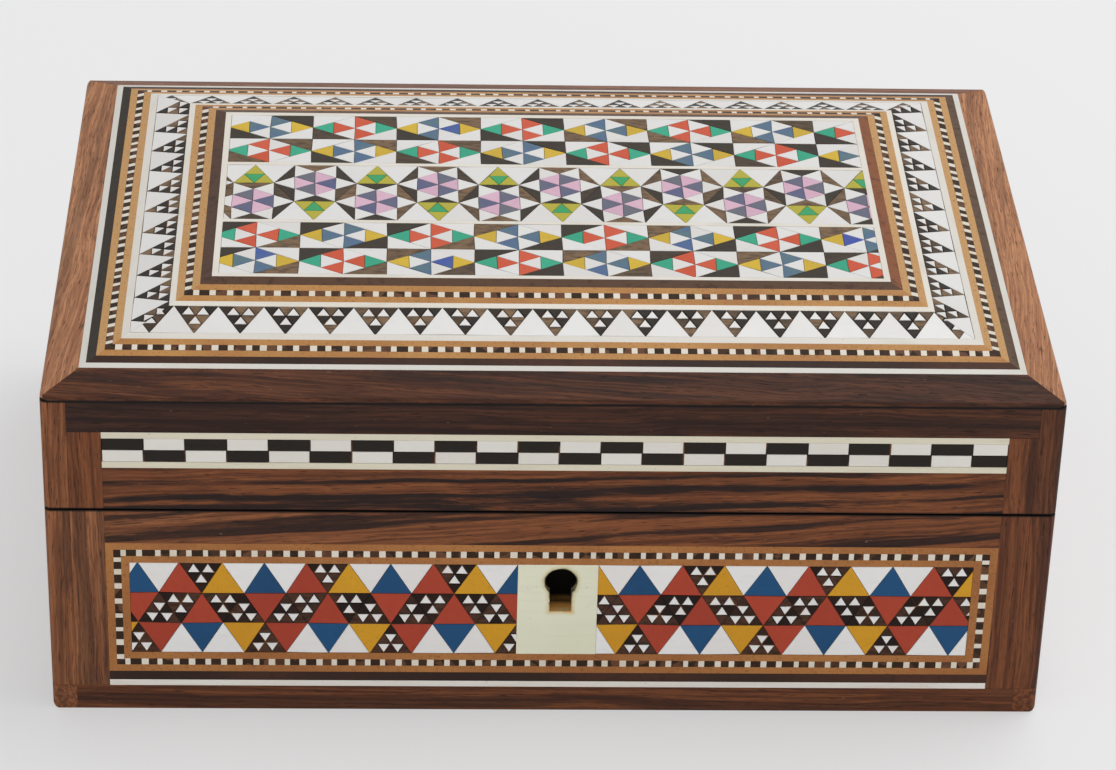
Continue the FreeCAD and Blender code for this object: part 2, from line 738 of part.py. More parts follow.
def make_lock():
    back_y = front_inner - lock_plate_thickness
    deep_y = front_inner - lock_depth
    middle_y = (back_y + deep_y + lock_wall) / 2
    under = base_height - lock_plate_thickness
    x0, x1 = keyhole_x - lock_plate_width / 2, keyhole_x + lock_plate_width / 2
    bolt_low = keyhole_z + bolt_rise
    bolt_high = bolt_low + bolt_height
    toe_end = hook_x - bolt_travel
    toe_top = bolt_high - tongue_height - bolt_clearance

    plate = block(x0, x1, back_y, front_inner, keyhole_z - lock_plate_foot, base_height)
    plate = plate.fuse(block(x0, x1, deep_y, back_y, under, base_height)).removeSplitter()
    slot_half = hook_thickness / 2 + 2 * bolt_clearance
    plate = plate.cut(block(toe_end - bolt_clearance, hook_x + hook_leg + bolt_clearance,
                            middle_y - slot_half, middle_y + slot_half, under, base_height))
    add("lock_plate", plate)

    c0, c1 = keyhole_x - lock_case_width / 2, keyhole_x + lock_case_width / 2
    case_low = keyhole_z - lock_case_foot
    case = block(c0, c1, deep_y, back_y, case_low, under)
    case = case.cut(block(c0 + lock_wall, c1 - lock_wall, deep_y + lock_wall, back_y,
                          case_low + lock_wall, under))
    add("lock_case", case.cut(keyhole(deep_y, deep_y + lock_wall)))

    y0, y1 = middle_y - bolt_thickness / 2, middle_y + bolt_thickness / 2
    tongue_end = toe_end - bolt_clearance
    bolt = block(keyhole_x - bolt_tail, tongue_end, y0, y1, bolt_low, bolt_high)
    bolt = bolt.cut(block(tongue_end - bolt_travel, tongue_end, y0, y1, bolt_low, bolt_high - tongue_height))
    talon_x = keyhole_x - bolt_travel / 2
    bolt = bolt.cut(block(talon_x - talon_width / 2, talon_x + talon_width / 2, y0, y1,
                          bolt_low, bolt_low + talon_depth))
    s0, s1 = keyhole_x - stump_offset - stump_length / 2, keyhole_x - stump_offset + stump_length / 2
    t0 = bolt_high - tongue_height / 2 - stump_height
    t1 = t0 + stump_height
    ease = pin_clearance
    bolt = bolt.cut(block(s0 - bolt_travel - ease, s1 + ease, y0, y1, t0 - ease, t1 + ease))
    add("lock_bolt", bolt)
    add("lock_stump", block(s0, s1, y0, back_y, t0, t1))

    spring_x = keyhole_x - bolt_tail + lock_wall
    add("bolt_spring", bowed_strip(spring_x, spring_x + spring_length, under, bolt_high + pin_clearance,
                                   middle_y - spring_width / 2))

    strike = strike_block(0.0)
    h0, h1 = middle_y - hook_thickness / 2, middle_y + hook_thickness / 2
    toe_low = toe_top - hook_toe_height
    strike = strike.fuse([block(hook_x, hook_x + hook_leg, h0, h1, toe_low, lid_bottom),
                          block(toe_end, hook_x, h0, h1, toe_low, toe_top)])
    add("strike_hook", strike.removeSplitter())


def bowed_strip(x0, x1, end_z, low_z, y):
    """A leaf spring bowed down from its two ends to low_z in the middle."""
    t = spring_thickness
    middle = (x0 + x1) / 2
    lower = Part.Arc(Vec(x0, y, end_z - t), Vec(middle, y, low_z), Vec(x1, y, end_z - t)).toShape()
    upper = Part.Arc(Vec(x1, y, end_z), Vec(middle, y, low_z + t), Vec(x0, y, end_z)).toShape()
    right_end = Part.LineSegment(Vec(x1, y, end_z - t), Vec(x1, y, end_z)).toShape()
    left_end = Part.LineSegment(Vec(x0, y, end_z), Vec(x0, y, end_z - t)).toShape()
    return Part.Face(Part.Wire([lower, right_end, upper, left_end])).extrude(Vec(0, spring_width, 0))


make_base_carcass()
make_lid_carcass()
for wall in (front, right, left):
    base_wall(wall)
    lid_wall(wall)
back_sheets()
make_escutcheon()
make_mouldings()
make_border()
make_panel()
make_linings()
make_hinges()
make_lock()

os.makedirs("parts", exist_ok=True)
for node, solids in nodes.items():
    shape = solids[0] if len(solids) == 1 else Part.makeCompound(solids)
    shape.exportStep(f"parts/{node}.step")
print(len(nodes), "nodes,", sum(len(s) for s in nodes.values()), "solids")
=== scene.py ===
import math
import random

import bmesh
import bpy
from mathutils import Matrix, Vector


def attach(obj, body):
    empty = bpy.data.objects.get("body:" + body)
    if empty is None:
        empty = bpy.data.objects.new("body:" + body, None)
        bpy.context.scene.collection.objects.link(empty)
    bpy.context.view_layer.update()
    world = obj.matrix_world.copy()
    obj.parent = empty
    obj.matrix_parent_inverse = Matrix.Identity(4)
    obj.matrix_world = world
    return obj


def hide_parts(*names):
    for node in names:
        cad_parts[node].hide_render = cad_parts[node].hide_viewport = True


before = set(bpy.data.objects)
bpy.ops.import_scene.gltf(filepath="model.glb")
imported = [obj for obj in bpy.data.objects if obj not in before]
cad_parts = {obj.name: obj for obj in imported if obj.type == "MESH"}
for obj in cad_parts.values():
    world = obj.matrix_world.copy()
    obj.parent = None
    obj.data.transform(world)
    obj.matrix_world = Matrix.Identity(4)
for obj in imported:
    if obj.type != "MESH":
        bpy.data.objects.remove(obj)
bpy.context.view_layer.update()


# The studio: a pale seamless table under one large soft lamp at the back on the right, a weak one
# in front, and light from all round that is brightest near the horizon. Materials and light are
# drawn with one small class, which stands for a socket and turns sums on it into Math nodes.

def sums(operation):
    """An operator on two wires or numbers, and its reflected form."""
    return (lambda self, other: self.math(operation, self, other),
            lambda self, other: self.math(operation, other, self))


class Wire:
    """A socket in a node tree. Arithmetic on it adds Math nodes."""

    def __init__(self, tree, socket=None):
        self.tree, self.socket = tree, socket

    def node(self, kind, settings=None, inputs=None, output=0):
        """Adds a node: first its settings, then the values or links of its sockets."""
        made = self.tree.nodes.new(kind)
        for key, value in (settings or {}).items():
            if key == "stops":
                stops = made.color_ramp.elements
                while len(stops) < len(value):
                    stops.new(1.0)
                for stop, (position, colour) in zip(stops, value):
                    stop.position, stop.color = position, (*colour, 1.0)
            else:
                setattr(made, key, value)
        self.plug(made, inputs or {})
        return Wire(self.tree, made.outputs[output])

    def plug(self, node, inputs):
        """Sets a node's sockets to plain values or links them to wires."""
        for key, value in inputs.items():
            for item in value if isinstance(value, list) else [value]:
                if isinstance(item, Wire):
                    self.tree.links.new(item.socket, node.inputs[key])
                else:
                    node.inputs[key].default_value = item

    def math(self, operation, first, second=0.0):
        return self.node("ShaderNodeMath", {"operation": operation}, {0: first, 1: second})

    __add__, __radd__ = sums("ADD")
    __sub__, __rsub__ = sums("SUBTRACT")
    __mul__, __rmul__ = sums("MULTIPLY")
    __truediv__, __rtruediv__ = sums("DIVIDE")
    least, most = sums("MINIMUM")[0], sums("MAXIMUM")[0]
    size = lambda self: self.math("ABSOLUTE", self)
    root = lambda self: self.math("SQRT", self)

    def step(self, low, high):
        """A smooth 0 to 1 as the value goes from low to high."""
        return self.node("ShaderNodeMapRange", {"interpolation_type": "SMOOTHSTEP"},
                         {"Value": self, "From Min": low, "From Max": high})

    def blend(self, low, high):
        """A colour between two, by this value."""
        low, high = [(*c, 1.0) if isinstance(c, tuple) else c for c in (low, high)]
        return self.node("ShaderNodeMix", {"data_type": "RGBA"}, {0: self, 6: low, 7: high}, 2)

    def over(self, colour, low, high, share, stain):
        """A colour, stained by up to a share where this value goes from low to high."""
        return (self.step(low, high) * share).blend(colour, stain)

    def vector(self, operation, other, socket=1):
        return self.node("ShaderNodeVectorMath", {"operation": operation}, {0: self, socket: other})

    def part(self, axis):
        return self.node("ShaderNodeSeparateXYZ", None, {0: self}, axis)

    def noise(self, scale, detail=2.0, roughness=0.5):
        """Noise read at this vector."""
        return self.node("ShaderNodeTexNoise", None,
                         {"Vector": self, "Scale": scale, "Detail": detail, "Roughness": roughness})

    def grained(self, scales, detail=2.0, roughness=0.5):
        """Noise with its own scale along each axis; two scales stand for along and across."""
        return self.vector("MULTIPLY", (*scales, scales[-1])[:3]).noise(1.0, detail, roughness)


mm = 0.001
world = bpy.data.worlds.new("studio")
world.use_nodes = True
bpy.context.scene.world = world
sky = Wire(world.node_tree)
height = sky.node("ShaderNodeTexCoord", None, None, "Generated").part("Z")
horizon_light, overhead_light = (0.9, 0.9, 0.91), (0.52, 0.52, 0.53)
sky.plug(world.node_tree.nodes["Background"],
         {"Color": height.step(0.05, 0.42).blend(horizon_light, overhead_light), "Strength": 1.0})


def stood(name, data):
    """A new object in the scene."""
    thing = bpy.data.objects.new(name, data)
    bpy.context.scene.collection.objects.link(thing)
    return thing


def soft_lamp(name, place, aim, width, depth, power):
    """A large area lamp at a place, turned towards a point."""
    lamp = bpy.data.lights.new(name, "AREA")
    lamp.shape, lamp.size, lamp.size_y, lamp.energy = "RECTANGLE", width, depth, power
    stand = stood(name, lamp)
    stand.location = place
    stand.rotation_euler = (Vector(aim) - Vector(place)).to_track_quat("-Z", "Y").to_euler()


soft_lamp("overhead_softbox", (0.45, 0.28, 1.05), (0, 0.05, 0.03), 1.0, 0.8, 6.4)
soft_lamp("front_fill", (-0.3, -1.3, 0.55), (0, 0, 0.03), 0.9, 0.6, 2.6)


def new_finish(name):
    """An empty material and its Object coordinates."""
    material = bpy.data.materials.new(name)
    material.use_nodes = True
    return material, Wire(material.node_tree).node("ShaderNodeTexCoord", None, None, "Object")


def rectangle(u0, u1, v0, v1):
    return [(u0, v0), (u1, v0), (u1, v1), (u0, v1)]


table_reach, table_drop = 12.0, -0.02 * mm
table_top = bpy.data.meshes.new("table")
corners = rectangle(-table_reach, table_reach, -table_reach, table_reach)
table_top.from_pydata([(x, y, table_drop) for x, y in corners], [], [(0, 1, 2, 3)])
stood("table", table_top)
paper, on_table = new_finish("table_paper")
sheet = paper.node_tree.nodes["Principled BSDF"]
mottled = on_table.noise(3.0, 3.0).blend((0.87, 0.87, 0.875), (0.89, 0.89, 0.895))
on_table.plug(sheet, {"Base Color": mottled, "Roughness": 0.7, "Specular IOR Level": 0.1})
paper_white, white_share = (0.845, 0.845, 0.842, 1.0), 0.47
seen = [on_table.node("ShaderNodeLightPath", None, None, ray)
        for ray in ("Is Camera Ray", "Is Glossy Ray", "Is Transmission Ray")]
glow = on_table.node("ShaderNodeEmission", None, {"Color": paper_white, "Strength": 1.0})
shown = on_table.node("ShaderNodeMixShader", None,
                      {0: seen[0].most(seen[1]).most(seen[2]) * white_share,
                       1: Wire(paper.node_tree, sheet.outputs[0]), 2: glow})
on_table.plug(paper.node_tree.nodes["Material Output"], {"Surface": shown})
table_top.materials.append(paper)

camera_data = bpy.data.cameras.new("camera")
camera_data.lens, camera_data.sensor_width = 130.21, 36.0
camera_data.clip_start, camera_data.clip_end = 0.05, 50.0
camera = stood("camera", camera_data)
camera_place = Vector((-0.02418, -0.58816, 0.38594))
yaw, pitch, roll = [math.radians(angle) for angle in (2.617, 31.218, 1.779)]
camera.matrix_world = (Matrix.Translation(camera_place) @ Matrix.Rotation(-yaw, 4, "Z")
                       @ Matrix.Rotation(math.pi / 2 - pitch, 4, "X")
                       @ Matrix.Rotation(roll, 4, "Z"))
bpy.context.scene.camera = camera
bpy.context.scene.view_settings.view_transform = "Standard"


# Carcass: softwood boards lapped and glued at the corners, with a bottom board in a rebate and a
# hipped top board. Only the rims, the underside and the groove at the back stay bare.

keyhole_x, keyhole_z, keyhole_radius = 1.7 * mm, 25.0 * mm, 2.6 * mm
slot_half, slot_foot = 1.75 * mm, 19.4 * mm


def coated(material, colour, rough, gloss, relief, depth, strength=0.5, **more):
    """Gives a material its colour, roughness and gloss, and a relief of a height times a depth."""
    bump = relief.node("ShaderNodeBump", None,
                       {"Height": relief, "Distance": depth, "Strength": strength})
    looks = {"Base Color": colour, "Roughness": rough, "Specular IOR Level": gloss, "Normal": bump}
    relief.plug(material.node_tree.nodes["Principled BSDF"], {**looks, **more})
    return material


def dress(finish, *nodes):
    """Lays a finish on CAD nodes."""
    for node in nodes:
        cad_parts[node].data.materials[0] = finish


def keyhole_gap(place):
    """The distance from the edge of the keyhole, negative inside it, seen from the front."""
    x, z = place.part("X") - keyhole_x, place.part("Z")
    rise = z - keyhole_z
    round_gap = (x * x + rise * rise).root() - keyhole_radius
    slot_gap = (x.size() - slot_half).most(slot_foot - z).most(z - keyhole_z)
    return round_gap.least(slot_gap)


def keyhole_light_and_shade(place):
    """Painted light and shade in the keyhole: orange-brown light on the slot floor, black shade
    above.
    """
    height = place.part("Z").step(slot_foot + 0.1 * mm, slot_foot + 1.6 * mm)
    return height.blend((0.74, 0.36, 0.08), (0.006, 0.004, 0.003))


def softwood(name, along, shaded_keyhole=False):
    """Pale straight-grained boards; along is the axis of the grain. The keyhole may get painted
    light and shade.
    """
    material, place = new_finish(name)
    fibres = place.vector("MULTIPLY", tuple(0.04 if axis == along else 1.0 for axis in range(3)))
    rings, streaks = fibres.noise(260.0, 3.0, 0.55), fibres.noise(1900.0)
    wear = place.noise(60.0, 3.0)
    colour = rings.step(0.3, 0.7).blend((0.5, 0.33, 0.19), (0.33, 0.19, 0.1))
    colour = streaks.over(colour, 0.35, 0.75, 0.5, (0.22, 0.12, 0.06))
    colour = wear.over(colour, 0.45, 0.8, 0.4, (0.26, 0.16, 0.09))
    # Painted light and shade on the walls of the keyhole through the front board.
    if shaded_keyhole:
        colour = keyhole_gap(place).step(1.0 * mm, 3.0 * mm).blend(keyhole_light_and_shade(place), colour)
    return coated(material, colour, 0.55 + streaks * 0.2, 0.3, streaks, 0.05 * mm)


bodies = ("base", "lid")
lengthwise, crosswise = softwood("softwood_lengthwise", 0), softwood("softwood_crosswise", 1)
dress(lengthwise, "base_bottom_board", "lid_top_board")
for body in bodies:
    dress(lengthwise, f"{body}_front_board", f"{body}_back_board")
    dress(crosswise, f"{body}_left_board", f"{body}_right_board")
dress(softwood("softwood_burnt", 0, True), "base_front_board")


# Rosewood on the walls: corner strips, stiles and rails of veneer, edge to edge, each piece cut
# from another part of the plank, and polished together after gluing. The corners of the box are
# rubbed round, and at the foot each corner strip ends in a small block that shows end grain.

half_width, half_depth = 80.0 * mm, 54.0 * mm
base_height, lid_bottom, lid_top = 38.2 * mm, 38.45 * mm, 58.2 * mm
veneer = 1.2 * mm
corner_strip, stile_width, foot_rail = 4.0 * mm, 5.0 * mm, 4.6 * mm
frame_bottom, frame_top = 7.4 * mm, 32.05 * mm
checker_bottom, checker_top = 46.15 * mm, 52.65 * mm
front_shift = 0.35 * mm
corner_radius, joint_ease, seam_ease = 1.05 * mm, 0.07 * mm, 0.18 * mm
sharp_angle, touching = 0.9, 1e-6
grain_stray, plank_size = 0.025, 4
up = Vector((0, 0, 1))


class Wall:
    """One side of the box: a direction along it, one inwards, its half length and its reach.

    Its veneer stops short of the ends by cover, and its inlay sits off the middle by shift.
    """

    def __init__(self, name, along, inward, half, reach, cover=0.0, shift=0.0):
        self.name, self.half, self.reach = name, half, reach
        self.along, self.inward = Vector(along), Vector(inward)
        self.face = half - cover
        self.span = self.face - corner_strip
        inner = self.span - stile_width
        self.inlay = (shift - inner, shift + inner)

    def at(self, u, inset, z):
        return self.along * u + self.inward * (inset - self.reach) + up * z

    def patch(self, outline):
        """An outline of lengths and heights, on the face of the wall."""
        return [self.at(u, 0, z) for u, z in outline]


front = Wall("front", (1, 0, 0), (0, 1, 0), half_width, half_depth, 0.0, front_shift)
right = Wall("right", (0, 1, 0), (-1, 0, 0), half_depth, half_width, veneer)
back = Wall("back", (-1, 0, 0), (0, -1, 0), half_width, half_depth)
left = Wall("left", (0, -1, 0), (1, 0, 0), half_depth, half_width, veneer)
all_walls, inlaid_walls = [front, right, back, left], [front, right, left]


def whole(shape):
    return shape.verts[:] + shape.edges[:] + shape.faces[:]


def settled(mesh, name, body, slot, *nodes):
    """Puts a finished mesh into the scene as a piece on a body, in place of CAD nodes."""
    piece = stood(name, mesh)
    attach(piece, body)
    if nodes:
        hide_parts(*nodes)
    return piece


def ease(shape, edges, radius, segments):
    bmesh.ops.bevel(shape, geom=edges, offset=radius, segments=segments, profile=0.5,
                    affect="EDGES")


class Joinery:
    """Wooden pieces gathered into one mesh, each with its own grain and tone.

    Those of a wall meet a seam at the level of rim.
    """

    def __init__(self, seed, rim=None):
        self.points, self.faces, self.grain, self.tone, self.figure = [], [], [], [], []
        self.chance, self.rim = random.Random(seed), rim

    def prism(self, near, far, rounds):
        """A bar between two outlines; rounds are tests for edges, each with their radius."""
        wood = bmesh.new()
        near, far = [[wood.verts.new(p) for p in outline] for outline in (near, far)]
        wood.faces.new(near)
        wood.faces.new(far[::-1])
        for i in range(len(near)):
            j = (i + 1) % len(near)
            wood.faces.new((near[j], near[i], far[i], far[j]))
        bmesh.ops.recalc_face_normals(wood, faces=wood.faces)
        for test, radius in rounds:
            edges = [e for e in wood.edges if test((e.verts[0].co + e.verts[1].co) / 2)]
            ease(wood, edges, radius, 5)
        ease(wood, [e for e in wood.edges if e.calc_face_angle(0.0) > sharp_angle], joint_ease, 2)
        return wood

    def take(self, wood, fibre, across, look, lean):
        """Takes a piece in; its look is one tone, or one for each end, and then its figure."""
        wood.verts.index_update()
        start = len(self.points)
        lean += self.chance.uniform(-grain_stray, grain_stray)
        fibre, across = fibre + across * lean, across - fibre * lean
        through = fibre.cross(across)
        shift = Vector([self.chance.uniform(0, plank_size) for _ in range(3)])
        ends = [p.co.dot(fibre) for p in wood.verts]
        low, length = min(ends), max(ends) - min(ends)
        first, last, figure = look[0], look[-2], look[-1]
        for vertex in wood.verts:
            p = vertex.co
            self.points.append(p[:])
            self.grain.extend(Vector((p.dot(fibre), p.dot(across), p.dot(through))) + shift)
            self.tone.append(first + (last - first) * (p.dot(fibre) - low) / length)
            self.figure.append(figure)
        self.faces.extend([[start + v.index for v in face.verts] for face in wood.faces])
        wood.free()

    def finished(self, name, body, material, *nodes):
        """The pieces as one object that rides on a body and stands for CAD nodes."""
        mesh = bpy.data.meshes.new(name)
        mesh.from_pydata(self.points, [], self.faces)
        mesh.attributes.new("grain", "FLOAT_VECTOR", "POINT").data.foreach_set("vector", self.grain)
        for label, values in (("tone", self.tone), ("figure", self.figure)):
            mesh.attributes.new(label, "FLOAT", "POINT").data.foreach_set("value", values)
        mesh.materials.append(material)
        settled(mesh, name, body, "rosewood", *nodes)


def attribute(place, name, output="Fac"):
    return place.node("ShaderNodeAttribute", {"attribute_name": name}, None, output)


def rosewood(name, on_joinery=True):
    """Red-brown wood with dark wavy bands, fine streaks and open pores, under satin lacquer."""
    material, place = new_finish(name)
    z = place.part("Z")
    if on_joinery:
        grain = attribute(place, "grain", "Vector")
        tone, figure = attribute(place, "tone"), attribute(place, "figure")
    else:
        x, y = place.part("X"), place.part("Y")
        grain = place.node("ShaderNodeCombineXYZ", None, {0: x, 1: z, 2: y})
        tone = grain.grained((9.0, 40.0)).step(0.3, 0.75) * 0.6 + 0.1
        figure = 0.8
    sway = (grain.grained((24.0, 60.0)) - 0.5) * (4.2 * mm)
    swayed = grain.vector("ADD", place.node("ShaderNodeCombineXYZ", None, {1: sway, 2: sway}))
    bands = swayed.grained((7.0, 430.0), 1.5)
    lines = swayed.grained((26.0, 1500.0), 2.0, 0.55)
    fibres = swayed.grained((190.0, 3600.0), 3.0, 0.6)
    pores = swayed.grained((330.0, 6500.0), 1.0).step(0.62, 0.7)
    flecks = grain.grained((700.0, 2600.0), 1.0).step(0.76, 0.82)
    heart_shades = (0.017, 0.009, 0.0076), (0.112, 0.033, 0.013), (0.35, 0.145, 0.066)
    sap_shades = (0.05, 0.02, 0.013), (0.25, 0.082, 0.0285), (0.56, 0.265, 0.125)
    heart, sap = [tone.node("ShaderNodeValToRGB", {"stops": list(zip((0.0, 0.5, 1.0), shades))},
                            {0: tone}) for shades in (heart_shades, sap_shades)]
    colour = lines.step(0.34, 0.66).blend(heart, sap)
    shadow = tone.blend((0.016, 0.0075, 0.006), (0.19, 0.072, 0.033))
    colour = fibres.over(colour, 0.4, 0.7, 0.6, shadow)
    ragged = bands + (fibres - 0.5) * 0.16
    colour = (ragged.step(0.5, 0.61) * 0.95 * figure).blend(colour, (0.015, 0.0085, 0.0078))
    colour = (pores * 0.7).blend(colour, (0.01, 0.006, 0.005))
    colour = (flecks * 0.35).blend(colour, (0.34, 0.21, 0.13))
    # Painted shade: near-black within half a millimetre of the seam between base and lid, where its
    # gap's shadow falls.
    from_seam = (z - (base_height + lid_bottom) / 2).size()
    colour = from_seam.step(0.14 * mm, 0.55 * mm).blend((0.008, 0.005, 0.004), colour)
    # Painted shade: near-black along the joint under the mouldings, where shade falls between
    # moulding and wall.
    from_joint = (z - lid_top).size() + lines * (0.2 * mm)
    colour = from_joint.step(0.18 * mm, 0.48 * mm).blend((0.01, 0.006, 0.005), colour)
    relief = lines * 0.4 - pores * 0.6 + fibres * 0.3
    rough = 0.4 + fibres * 0.2 + pores * 0.15
    return coated(material, colour, rough, 0.16, relief, 0.035 * mm, 0.6)


hinge_y, hinge_z, groove_slope = 51.6 * mm, 38.325 * mm, math.tan(math.radians(50.5))


def clear_groove(piece, on_base):
    """Cuts away what lies in the groove behind the hinge line, so that the lid can lean back."""
    cut = bmesh.ops.bisect_plane(
        piece, geom=whole(piece), clear_outer=True, plane_co=(0, hinge_y, hinge_z),
        plane_no=(0, groove_slope, 1 if on_base else -1))
    rim = [e for e in cut["geom_cut"] if isinstance(e, bmesh.types.BMEdge)]
    if rim:
        bmesh.ops.edgeloop_fill(piece, edges=rim)


def wall_wood(wood, wall, u0, u1, z0, z1, look, fibre=None, lean=0.0):
    """A rosewood piece of a wall, its grain along its longer side unless fibre says otherwise.

    Its edge at the seam is eased, and the box's own corners are rubbed round.
    """
    def at_corner(p):
        at_end = abs(abs(p.y) - half_depth) < touching or abs(p.z) < touching
        return abs(abs(p.x) - half_width) < touching and at_end

    def at_seam(p):
        outside = abs((p - wall.at(0, 0, 0)).dot(wall.inward)) < touching
        return outside and abs(p.z - wood.rim) < touching

    fibre = fibre or (up if z1 - z0 > u1 - u0 else wall.along)
    outline = wall.patch(rectangle(u0, u1, z0, z1))
    piece = wood.prism(outline, [p + wall.inward * veneer for p in outline],
                       [(at_corner, corner_radius), (at_seam, seam_ease)])
    clear_groove(piece, wood.rim == base_height)
    wood.take(piece, fibre, wall.along if fibre == up else up, look, lean)


polished_rosewood = rosewood("polished_rosewood")
base_wood, lid_wood = Joinery(3, base_height), Joinery(8, lid_bottom)
for wall in inlaid_walls:
    u0, u1 = wall.inlay
    for end, edge, foot, strip, stile, lid_strip, lid_stile in (
            (-1, u0, 0.6, 0.61, 0.65, 0.57, 0.47), (1, u1, 0.42, 0.43, 0.43, 0.25, 0.41)):
        a, b = sorted((end * wall.face, end * wall.span))
        wall_wood(base_wood, wall, a, b, 0, foot_rail, (foot, 0.3), wall.inward)
        wall_wood(base_wood, wall, a, b, foot_rail, base_height, (strip, 0.5))
        wall_wood(lid_wood, wall, a, b, lid_bottom, lid_top, (lid_strip, 0.5))
        a, b = sorted((end * wall.span, edge))
        wall_wood(base_wood, wall, a, b, foot_rail, base_height, (stile, 0.5))
        wall_wood(lid_wood, wall, a, b, lid_bottom, checker_top, (lid_stile, 0.5))
    wall_wood(base_wood, wall, -wall.span, wall.span, 0, foot_rail, (0.35, 0.37, 0.5))
    wall_wood(base_wood, wall, u0, u1, frame_top, base_height, (0.58, 0.45, 0.9), lean=0.06)
    wall_wood(lid_wood, wall, u0, u1, lid_bottom, checker_bottom, (0.47, 0.49, 1.0), lean=0.05)
    wall_wood(lid_wood, wall, -wall.span, wall.span, checker_top, lid_top, (0.03, 0.15, 0.5))
for body, wood in zip(bodies, (base_wood, lid_wood)):
    wood.finished(f"{body}_wall_rosewood", body, polished_rosewood,
                  *[f"{body}_{group}" for group in ("corner_strips", "stiles", "rails")])
dress(rosewood("back_rosewood", False), "base_back_veneer", "lid_back_veneer")


# Mouldings: four solid rosewood bars round the top of the lid, sloping up to the border, mitred
# at the corners and glued on the rim. The side bars are lighter than the front and back bars,
# the front bar darkest, and the four corners are rubbed round.

moulding_width, moulding_edge, slope_start = 5.8 * mm, 0.7 * mm, 60.9 * mm
crown = lid_top + moulding_edge
crown_radius, moulding_corner, moulding_lean = 0.5 * mm, 1.7 * mm, -0.06
corner_cuts = (0.06, 0.15, 0.3, 0.5, 0.75, 1.0)


def rub_corners(wood):
    """Moves what lies outside the box's rounded corners in plan onto the round."""
    for vertex in wood.verts:
        p = vertex.co
        centre = Vector((math.copysign(half_width - moulding_corner, p.x),
                         math.copysign(half_depth - moulding_corner, p.y)))
        out = p.xy - centre
        beyond = out.x * p.x > 0 and out.y * p.y > 0
        if beyond and out.length > moulding_corner:
            p.xy = centre + out.normalized() * moulding_corner


mouldings = Joinery(21)
moulding_looks = (0.27, 0.1, 0.7), (0.98, 0.3), (0.6, 0.4), (0.96, 0.3)
for wall, look in zip(all_walls, moulding_looks):
    section = [(0, lid_top), (moulding_width, lid_top), (moulding_width, slope_start), (0, crown)]
    ends = [[wall.at(end * (wall.half - inset), inset, z) for inset, z in section]
            for end in (-1, 1)]
    crest = wall.at(0, 0, crown)
    bar = mouldings.prism(*ends, [(lambda p: (p - crest).length < touching, crown_radius)])
    for end in (-1, 1):
        for share in corner_cuts:
            spot = wall.at(end * (wall.half - share * moulding_corner), 0, 0)
            bmesh.ops.bisect_plane(bar, geom=whole(bar), plane_co=spot, plane_no=wall.along)
    rub_corners(bar)
    mouldings.take(bar, wall.along, wall.inward, look, moulding_lean)
mouldings.finished("lid_mouldings", "lid", polished_rosewood,
                   *[f"lid_moulding_{wall.name}" for wall in all_walls])


# Bone lines and the keyhole plate: strips of bone and one larger plate, filed flush with the
# wood. Round the keyhole the plate is stained yellow-brown, and at its rim and in the hole it
# has painted shade in black and painted light in orange-brown on the floor of the slot.

def bone(name, pale, warm, stained_and_shaded=False, on_lid=None):
    """Cream bone with faint streaks and tiny pits; on_lid has its creams on slopes and walls."""
    material, place = new_finish(name)
    clouds, streaks = place.noise(55.0, 3.0), place.grained((120.0, 120.0, 1400.0))
    pits = place.noise(2300.0, 1.0).step(0.72, 0.8)
    colour = clouds.step(0.3, 0.72).blend(pale, warm)
    if on_lid:
        z = place.part("Z")
        colour = z.step(slope_start, slope_start + 4.0 * mm).blend(on_lid[0], colour)
        colour = z.step(lid_top, lid_top + 1.0 * mm).blend(on_lid[1], colour)
    colour = streaks.over(colour, 0.5, 0.8, 0.12 if stained_and_shaded else 0.25, (0.48, 0.42, 0.29))
    colour = (pits * 0.5).blend(colour, (0.36, 0.29, 0.18))
    # The keyhole plate: a yellow-brown stain round the hole, and painted light and shade at its rim
    # and in the hole.
    if stained_and_shaded:
        gap = keyhole_gap(place) + (place.noise(900.0) - 0.5) * (0.6 * mm)
        stain, keyhole_shading = 1.0 - gap.step(0.0, 0.9 * mm), 1.0 - gap.step(-0.1 * mm, 0.28 * mm)
        colour = (stain * 0.6).blend(colour, (0.56, 0.45, 0.15))
        # Painted shade in black at the rim and in the hole, painted light in orange-brown on the
        # slot floor.
        colour = (keyhole_shading * 0.9).blend(colour, keyhole_light_and_shade(place))
    return coated(material, colour, 0.34 + streaks * 0.15, 0.4, streaks - pits, 0.02 * mm)


dress(bone("base_bone_line", (0.82, 0.795, 0.735), (0.77, 0.735, 0.66)), "base_bone_lines")
dress(bone("lid_bone_line", (0.81, 0.765, 0.685), (0.765, 0.715, 0.62),
           on_lid=((0.69, 0.665, 0.605), (0.72, 0.672, 0.52))), "lid_bone_lines")
dress(bone("scorched_bone", (0.81, 0.805, 0.625), (0.755, 0.75, 0.56), True), "escutcheon")


# Dark lines and bandings: lines of dark wood beside the bone, and bandings made of two strips of
# orange wood with a dark core between them, sawn as thin slices from a glued stick.

def from_edges(place):
    """The distances from the nearer end of the box and from its nearer long side."""
    return half_width - place.part("X").size(), half_depth - place.part("Y").size()


def at_ends(place):
    """1 on the strips at the two ends of the lid, 0 on those at its front and back."""
    from_end, from_side = from_edges(place)
    return (from_side - from_end).step(-0.05 * mm, 0.05 * mm)


